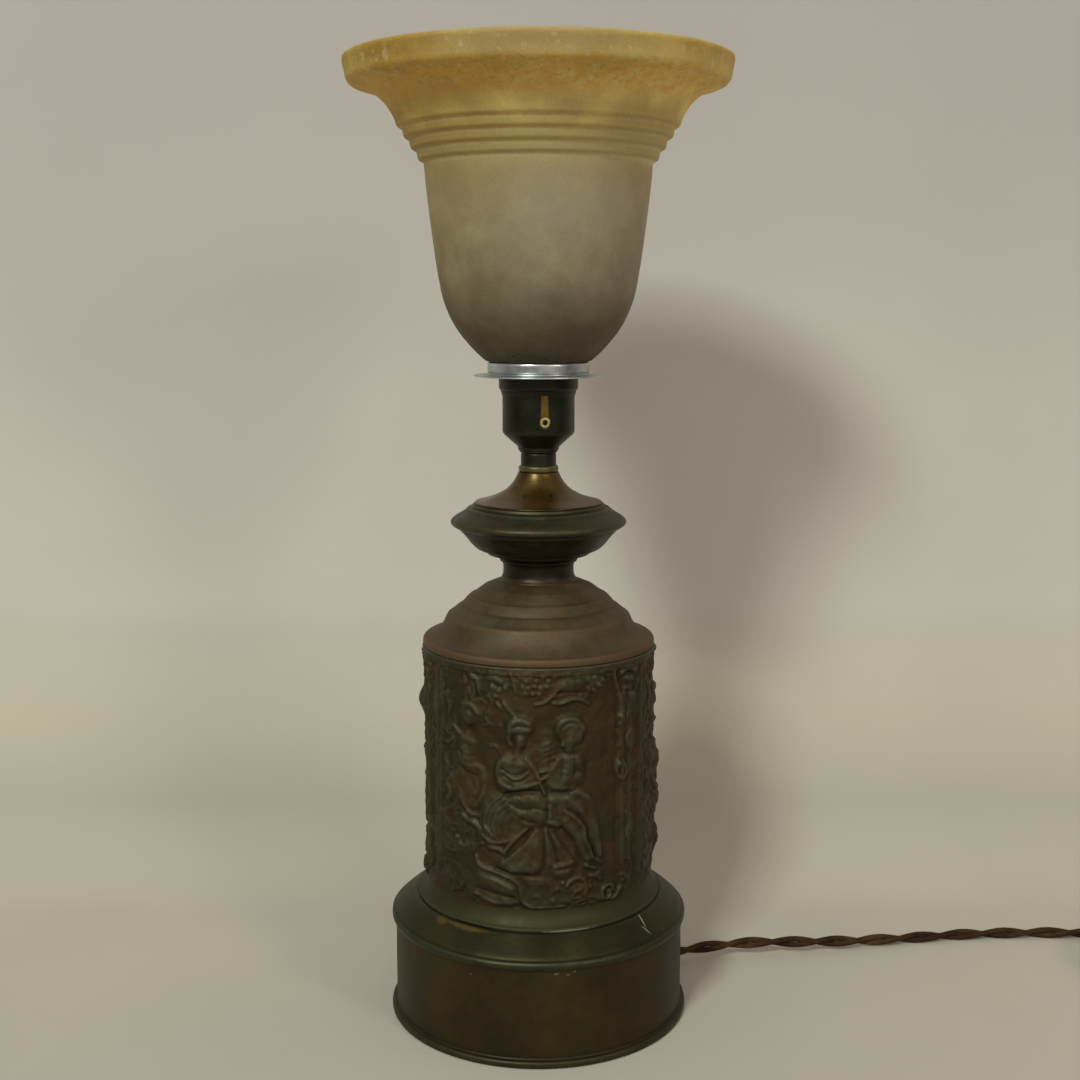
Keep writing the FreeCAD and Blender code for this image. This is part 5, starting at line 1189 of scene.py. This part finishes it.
    ("mass", 1.8, (46.6, 184, 1.3), (48.8, 179, 1.5), (46.8, 173.6, 1.2)),
    ("mass", 1.8, (50, 168, 1.4), (47.2, 163, 1.5), (49.8, 157.4, 1.2)),
    ("mass", 1.8, (46.8, 124, 1.4), (50, 118, 1.5), (47.4, 112, 1.4), (50.4, 105, 1.2)),
    ("mass", 2, (45.6, 99, 1.3), (49.8, 97, 1.6), (52, 91.6, 1.4), (48.6, 87.6, 1.3), (46, 90.8, 1.1)),
]

drum = {
    "radius": 62.0, "inside": 59.4, "foot": 67.0, "top": 205.0, "cell": 0.4, "relief": (77, 204.2),
    "fades": (77.5, 204, 1.2), "cornice": 200.5,
    "line": [(59.4, 67.0, 0.2), (66.2, 67.0, 0.3), (66.3, 68.5, 0.5), (64.9, 69.4, 0.7), (63.2, 71.6, 1.4),
             (61.9, 74.8, 2.0), (61.3, 78.5, 2.0), (61.3, 199.9, 0.3), (61.9, 200.6, 0.3), (62.5, 201.0, 0.4),
             (62.5, 204.3, 0.4), (62.1, 205.0, 0.4), (59.4, 205.0, 0.2)],
    "front": (-80.0, 160.0, 300, 0.52), "back": (80.0, 200.0, 288, 0.76), "turns": (0.0, 117.5, -117.5),
    "sharp": 0.9, "blend": 1.0, "stand": 0.95, "soft": 3, "seed": 4, "dent": 0.35, "pit": 0.05,
    "chased": 0.13, "swell": 0.2,
    # where small leaves are strewn: from and to angle, from and to height, count
    "leaves": [(-58, -43, 79, 199, 64), (-44, -25, 104, 130, 16), (-44, -24, 186, 199, 12),
               (-50, -9, 78, 92, 18), (-8, 34, 78, 95, 30), (-28, 31, 189, 200, 26), (42, 57, 79, 199, 60),
               (-30, -17, 145, 190, 6), (-58, 58, 198, 203, 56)],
    # slow bulges and dents on the sides: angle, height, half width, half height, push
    "pressed": [(-85, 175, 8, 6.5, 3.6), (-86, 143, 11, 13, -2.3), (-86, 109, 11, 13, -1.9),
                (86, 142, 8, 8, 2.9), (87, 119, 9, 13, 3.3), (85, 97, 8, 7, 3.4), (86, 186, 9, 4, -0.4),
                (86, 169, 8, 6, 1.2)],
}


def unrolled(angle):  # degrees round the drum as millimetres along its unrolled wall
    return math.radians(angle) * drum["radius"]


def toSegment(gx, gz, start, end):  # how far each cell lies from a straight segment, and how far along it
    dx, dz = end[0] - start[0], end[1] - start[1]
    x, z = gx[None] - start[0], gz[:, None] - start[1]
    t = np.clip((x * dx + z * dz) / max(dx * dx + dz * dz, 1e-9), 0, 1)
    return np.hypot(x - t * dx, z - t * dz), t


def insideOf(corners, gx, gz):  # how far inside the softened polygon each cell lies, 0 outside
    loop = np.array([(unrolled(a), z) for a, z in corners])
    for k in range(2):
        after = np.roll(loop, -1, 0)
        loop = np.stack((loop * 0.75 + after * 0.25, loop * 0.25 + after * 0.75), 1).reshape(-1, 2)
    within = np.zeros((len(gz), len(gx)), bool)
    depth = np.full(within.shape, 1e9)
    for (xa, za), (xb, zb) in zip(loop, np.roll(loop, -1, 0)):
        depth = np.minimum(depth, toSegment(gx, gz, (xa, za), (xb, zb))[0])
        if abs(zb - za) > 1e-9:
            border = xa + (xb - xa) * (gz - za) / (zb - za)
            within ^= ((za > gz) != (zb > gz))[:, None] & (gx[None] < border[:, None])
    return np.where(within, depth, 0)


def smoothLine(points, step=0.8):  # a stroke as evenly spaced points of a smooth curve on the unrolled wall
    raw = np.array([(unrolled(a), z, w) for a, z, w in points])
    if len(raw) < 3:
        return raw
    padded = np.concatenate((2 * raw[:1] - raw[1:2], raw, 2 * raw[-1:] - raw[-2:-1]))
    line = []
    for p0, p1, p2, p3 in zip(padded, padded[1:], padded[2:], padded[3:]):
        count = max(2, int(np.hypot(*(p2 - p1)[:2]) / step))
        for t in np.arange(count) / count:
            line.append(0.5 * (2 * p1 + (p2 - p0) * t + (2 * p0 - 5 * p1 + 4 * p2 - p3) * t * t
                               + (3 * p1 - p0 - 3 * p2 + p3) * t ** 3))
    line.append(raw[-1])
    line = np.array(line)
    line[:, 2] = np.maximum(line[:, 2], 0.3)
    return line


def leaves(plan, chance):  # small curled leaves that fill the ornament between the figures
    made = []
    for low, high, foot, top, count in plan["leaves"]:
        for k in range(count):
            angle, height = chance.uniform(low, high), chance.uniform(foot, top)
            lean, bend = chance.uniform(0, 2 * math.pi), chance.normal(0, 0.7)
            reach, width = chance.uniform(1.6, 4.2), chance.uniform(0.7, 1.4)
            points = []
            for end in (-1, 0, 1):
                turn, out = lean + bend * end, end * reach
                points.append((angle + out * math.cos(turn) * 0.92, height + out * math.sin(turn),
                               width * (1 - 0.35 * end * end)))
            made.append(("mass", chance.uniform(0.5, 1.15), *points))
    return made


def reliefField(plan):  # the wall's height at each cell of the unrolled drum
    cell = plan["cell"]
    around = 2 * math.pi * plan["radius"]
    columns, rows = round(around / cell), round((plan["top"] - plan["foot"]) / cell) + 1
    width = around / columns
    xs = (np.arange(columns) + 0.5) * width - around / 2
    zs = plan["foot"] + np.arange(rows) * cell
    body = np.zeros((rows, columns))
    fineLines = np.zeros((rows, columns))
    chance = np.random.default_rng(plan["seed"])

    def window(x, z, reach, turn):  # the cells round a stroke, and where they are on the unturned wall
        shift = unrolled(turn)
        first = int((x.min() + shift - reach + around / 2) // width)
        last = int((x.max() + shift + reach + around / 2) // width) + 1
        low = max(0, int((z.min() - reach - plan["foot"]) / cell))
        high = min(rows, int((z.max() + reach - plan["foot"]) / cell) + 2)
        picked = np.arange(first, last + 1)
        cells = np.ix_(np.arange(low, high), picked % columns)
        return cells, (picked + 0.5) * width - around / 2 - shift, zs[low:high]

    plates = [stroke for stroke in strokes if stroke[0] == "plate"]
    drawn = [stroke for stroke in strokes if stroke[0] != "plate"]
    for turn in plan["turns"]:
        for _, height, edge, *corners in plates:
            loop = np.array([(unrolled(a), z) for a, z in corners])
            cells, gx, gz = window(loop[:, 0], loop[:, 1], 0.5, turn)
            rise = np.clip(insideOf(corners, gx, gz) / edge, 0, 1)
            body[cells] = np.maximum(body[cells], height * np.sqrt(1 - (1 - rise) ** 2))
    body = blurred(body, plan["soft"])
    for turn in plan["turns"]:
        for kind, height, *points in leaves(plan, chance) + drawn:
            line = smoothLine(points)
            reach = line[:, 2].max() * (1.15 if kind == "mass" else 2.6) + 0.5
            cells, gx, gz = window(line[:, 0], line[:, 1], reach, turn)
            best = np.full((len(gz), len(gx)), 1e9)  # the distance from the line as a share of its width
            for start, end in zip(line, line[1:]):
                away, t = toSegment(gx, gz, start, end)
                best = np.minimum(best, away / (start[2] + (end[2] - start[2]) * t))
            height = height * (1 + 0.08 * chance.standard_normal())
            if kind == "mass":
                shape = height * np.maximum(1 - best ** 2, 0) ** plan["sharp"]
                here, k = body[cells], plan["blend"]
                body[cells] = np.maximum(here, shape) + np.where(
                    (here > 0) & (shape > 0), 0.25 * np.maximum(k - np.abs(here - shape), 0) ** 2 / k, 0)
            else:
                shape = height * np.exp(-(best * 1.25) ** 2)
                fineLines[cells] += shape if kind == "ridge" else -shape
    field = body + np.where(body > 0.1, fineLines, np.minimum(fineLines, 0) * 0.35 + np.maximum(fineLines, 0))
    return xs, zs, np.maximum(field, -0.4) * plan["stand"]


def blurred(field, cells):  # a soft average over neighbouring cells, closed round the drum
    weights = np.exp(-(np.arange(-2 * cells, 2 * cells + 1) / cells) ** 2)
    weights /= weights.sum()
    out = np.zeros_like(field)
    for k, w in zip(range(-2 * cells, 2 * cells + 1), weights):
        out += w * np.roll(field, k, 1)
    padded = np.pad(out, ((2 * cells, 2 * cells), (0, 0)), mode="edge")
    return sum(w * padded[k:k + len(field)] for k, w in enumerate(weights))


def pressedWall(plan):  # the field with its soft forming, and the wear that goes with it
    xs, zs, field = reliefField(plan)
    field = 0.6 * blurred(field, 2) + 0.4 * blurred(field, 1)
    chance = np.random.default_rng(plan["seed"] + 1)
    slow = blurred(chance.standard_normal(field.shape), 14)
    middle = blurred(chance.standard_normal(field.shape), 4)
    quick = blurred(chance.standard_normal(field.shape), 1)
    broad = blurred(chance.standard_normal(field.shape), 8)
    raised = 1 - np.exp(-np.maximum(field, 0) / 0.7)
    field = field + plan["dent"] * slow / slow.std() * 0.4 \
        + plan["pit"] * quick / quick.std() * (1 - 0.4 * raised) \
        + plan["chased"] * middle / middle.std() * (0.5 + 0.5 * raised) + plan["swell"] * broad / broad.std()
    close, wide = blurred(field, 2), blurred(field, 5)
    wear = (field - close) * 1.7 + (field - wide) * 0.3
    tint = np.clip(field / 2.2, 0, 1) * (0.85 + 0.3 * broad / broad.std())
    low, high, soft = plan["fades"]
    edge = np.clip(np.minimum(zs - low, high - zs) / soft, 0, 1) * np.where(zs > plan["cornice"], 0.6, 1)
    edge = edge[:, None]
    return xs, zs, field * edge, np.clip(wear * 1.15, -1, 1) * edge, blurred(tint, 2) * edge


def bulges(plan, xs, zs):  # how far the whole wall is pushed out or in
    push = np.zeros((len(zs), len(xs)))
    for angle, height, across, up, far in plan["pressed"]:
        off = (xs[None] - unrolled(angle)) / across
        push += far * np.exp(-off ** 2 - ((zs[:, None] - height) / up) ** 2)
    return push


xs, zs, field, fieldWear, fieldRaised = pressedWall(drum)
fieldPush = bulges(drum, xs, zs)
print("relief drawn", field.shape, round(float(field.max()), 2))


def sampled(grid, angle, height):  # bilinear reading of the unrolled wall, angles in radians
    along = (angle * drum["radius"] - xs[0]) / (xs[1] - xs[0])
    rise = np.clip((height - zs[0]) / (zs[1] - zs[0]), 0, len(zs) - 1.001)
    c0, r0 = np.floor(along).astype(int), np.floor(rise).astype(int)
    fc, fr = along - c0, rise - r0
    left, right = c0 % len(xs), (c0 + 1) % len(xs)
    return (grid[r0, left] * (1 - fc) + grid[r0, right] * fc) * (1 - fr) \
        + (grid[r0 + 1, left] * (1 - fc) + grid[r0 + 1, right] * fc) * fr


def drumSector(name, start, sweep, steps, step):  # part of the wall, with the relief pushed out of it
    line = section(drum["line"], step)
    coarse, kept = 0, []
    for point in line:  # the plain inner face needs few rows
        if point[0] < drum["inside"] + 0.05 and drum["foot"] + 1 < point[1] < drum["top"] - 1:
            coarse += 1
            if coarse % 14:
                continue
        kept.append(point)
    made = spun(kept, steps, sweep, start)
    layer = made.verts.layers.float["wear"]
    proud = made.verts.layers.float.new("raised")
    places = np.array([v.co[:] for v in made.verts]) / mm
    radius = np.hypot(places[:, 0], places[:, 1])
    angle = np.arctan2(places[:, 0], -places[:, 1])
    height = places[:, 2]
    within = (height > drum["relief"][0]) & (height < drum["relief"][1])
    outer = (radius > drum["inside"] + 0.7) & within
    inner = (radius < drum["inside"] + 0.05) & within
    push = np.where(outer, sampled(field + fieldPush, angle, height), 0)
    push = np.where(inner, sampled(np.minimum(fieldPush, 0), angle, height), push)
    wear, raised = sampled(fieldWear, angle, height), sampled(fieldRaised, angle, height)
    raised = np.where(height > drum["cornice"], np.maximum(raised, 0.4), raised)
    for vert, p, w, up, out in zip(made.verts, push, wear, raised, outer):
        vert[proud] = up
        share = 1 + p * mm / math.hypot(vert.co.x, vert.co.y)
        vert.co.x *= share
        vert.co.y *= share
        if out:
            vert[layer] = w
    return finished(name, made, "lamp", ("drum_shell",), "drum", 60)


drumFront = drumSector("drumFront", *drum["front"])
drumBack = drumSector("drumBack", *drum["back"])
print("drum made", len(drumFront.data.vertices), len(drumBack.data.vertices))


# ---- CAD pieces that stay as they are ----

asBuilt = {
    ("steel", "steel"): ("bottom_plate", "pipe_washer", "pipe_nut", "lamp_pipe"),
    ("brass", "socket_brass"): ("socket_cap", "screw_shell", "centre_contact", "terminal_screws"),
    ("iron", "iron"): ("ballast_disc",), ("card", "liner_card"): ("insulating_liner",),
    ("porcelain", "insulator_porcelain"): ("socket_insulator",), ("cloth", "cord_cloth"): ("inner_cord",),
    ("capMetal", "bulb_metal"): ("bulb_contact",), ("stemGlass", "stem_glass"): ("bulb_stem",),
    ("tungsten", "filament"): ("bulb_filament",),
}
for (surface, slotName), nodes in asBuilt.items():
    for node in nodes:
        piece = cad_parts[node]
        piece.data.materials.clear()
        piece.data.materials.append(surfaces[surface])


# ---- Floor, light and camera ----

studio = {
    "floor": "#c9c6b9", "wide": 1.9, "near": -1.6, "bend": 0.15, "back": 0.27, "high": 2.2,
    "sky": "#fff2ee", "low": 0.22, "overhead": 0.68, "aside": 0.35,
    # painted shade on the paper: how far its colour is darkened with its height in metres
    "paintedPaperShade": [(0.0, 0.78, 0.75, 0.75), (0.006, 0.75, 0.73, 0.71), (0.04, 0.65, 0.63, 0.61),
              (0.09, 0.79, 0.76, 0.71), (0.17, 0.94, 0.92, 0.98), (0.32, 0.88, 0.86, 0.92),
              (0.45, 0.77, 0.75, 0.82), (0.54, 0.74, 0.72, 0.79)],
    "drop": 0.00005, "aim": (0, 0, 0.25),
    "key": {"place": (-1.8, -3.9, 3.4), "size": 0.95, "power": 177, "colour": "#f4fff2"},
    "fill": {"place": (3.1, -3.5, 2.2), "size": 1.05, "power": 48, "colour": "#fff1e2"},
    "lens": 50.78, "cameraAt": (0.0008, -0.8047, 0.3888), "cameraTilt": 80.93,
}


def sweepBackdrop(plan):  # a paper sweep: flat table, soft bend, upright back, with painted shade that changes with height
    made = bmesh.new()
    reach = plan["bend"]
    bend = [(plan["back"] - reach + reach * math.sin(a), reach - reach * math.cos(a))
            for a in np.linspace(0, math.pi / 2, 24)]
    points = [(plan["near"], 0), *bend, (plan["back"], plan["high"])]
    verts = [made.verts.new((-plan["wide"], y, z - plan["drop"])) for y, z in points]
    edges = [made.edges.new(pair) for pair in zip(verts, verts[1:])]
    pulled(made, bmesh.ops.extrude_edge_only(made, edges=edges), (2 * plan["wide"], 0, 0))
    made.normal_update()
    nearest = min(made.faces, key=lambda f: f.calc_center_median().y)
    if nearest.normal.z < 0:  # the paper's front faces the lamp
        bmesh.ops.reverse_faces(made, faces=made.faces[:])
    sweep = asObject("backdrop", made)
    sweep.data.shade_smooth()
    material, tree, place = newSurface("matteBackdropPaper")
    body = ramp(tree, cloud(tree, place, 220, 3, 0.5),
                [(0.35, linear(plan["floor"], 0.97)), (0.65, linear(plan["floor"], 1.02))])
    # painted shade: the paper is darkened by height, most at the bend and high up
    paintedPaperShade = ramp(tree, axisOf(tree, place, "Z"), [(at, (*tone, 1.0)) for at, *tone in plan["paintedPaperShade"]])
    body = mixed(tree, 1.0, body, paintedPaperShade, "MULTIPLY")
    paper = principled(tree, body, 0.9, None)
    unseen = addNode(tree, "BsdfTransparent").outputs[0]  # from behind, the lamp shows through it
    back = addNode(tree, "NewGeometry").outputs["Backfacing"]
    both = addNode(tree, "MixShader", {0: back, 1: paper, 2: unseen}).outputs[0]
    sweep.data.materials.append(done(material, tree, both))


def litSky(plan):  # brighter above than below, and darker to the sides
    sky = bpy.data.worlds.new("studioSky")
    sky.use_nodes = True
    tree = sky.node_tree
    way = addNode(tree, "TexCoord").outputs["Generated"]
    aside = spread(tree, reckoned(tree, "ABSOLUTE", axisOf(tree, way, "X")), 0.35, 0.95, 1.0, plan["aside"])
    above = spread(tree, axisOf(tree, way, "Z"), -0.1, 0.75, plan["low"], plan["overhead"])
    background = tree.nodes["Background"]
    background.inputs["Color"].default_value = linear(plan["sky"])
    tree.links.new(reckoned(tree, "MULTIPLY", aside, above), background.inputs["Strength"])
    return sky


def softLight(name, place, size, power, colour):
    data = bpy.data.lights.new(name, "AREA")
    data.shape = "RECTANGLE"
    data.size = data.size_y = size
    data.energy = power
    data.color = linear(colour)[:3]
    lamp = bpy.data.objects.new(name, data)
    scene.collection.objects.link(lamp)
    lamp.location = place
    lamp.rotation_euler = (Vector(studio["aim"]) - Vector(place)).to_track_quat("-Z", "Y").to_euler()


sweepBackdrop(studio)
scene.world = litSky(studio)
softLight("keyLeft", **studio["key"])
softLight("fillRight", **studio["fill"])

lens = bpy.data.cameras.new("camera")
camera = bpy.data.objects.new("camera", lens)
scene.collection.objects.link(camera)
lens.sensor_width = 36
lens.lens = studio["lens"]
lens.clip_start, lens.clip_end = 0.01, 20
camera.location = studio["cameraAt"]
camera.rotation_euler = (math.radians(studio["cameraTilt"]), 0, 0)
scene.camera = camera
scene.view_settings.view_transform = "Standard"
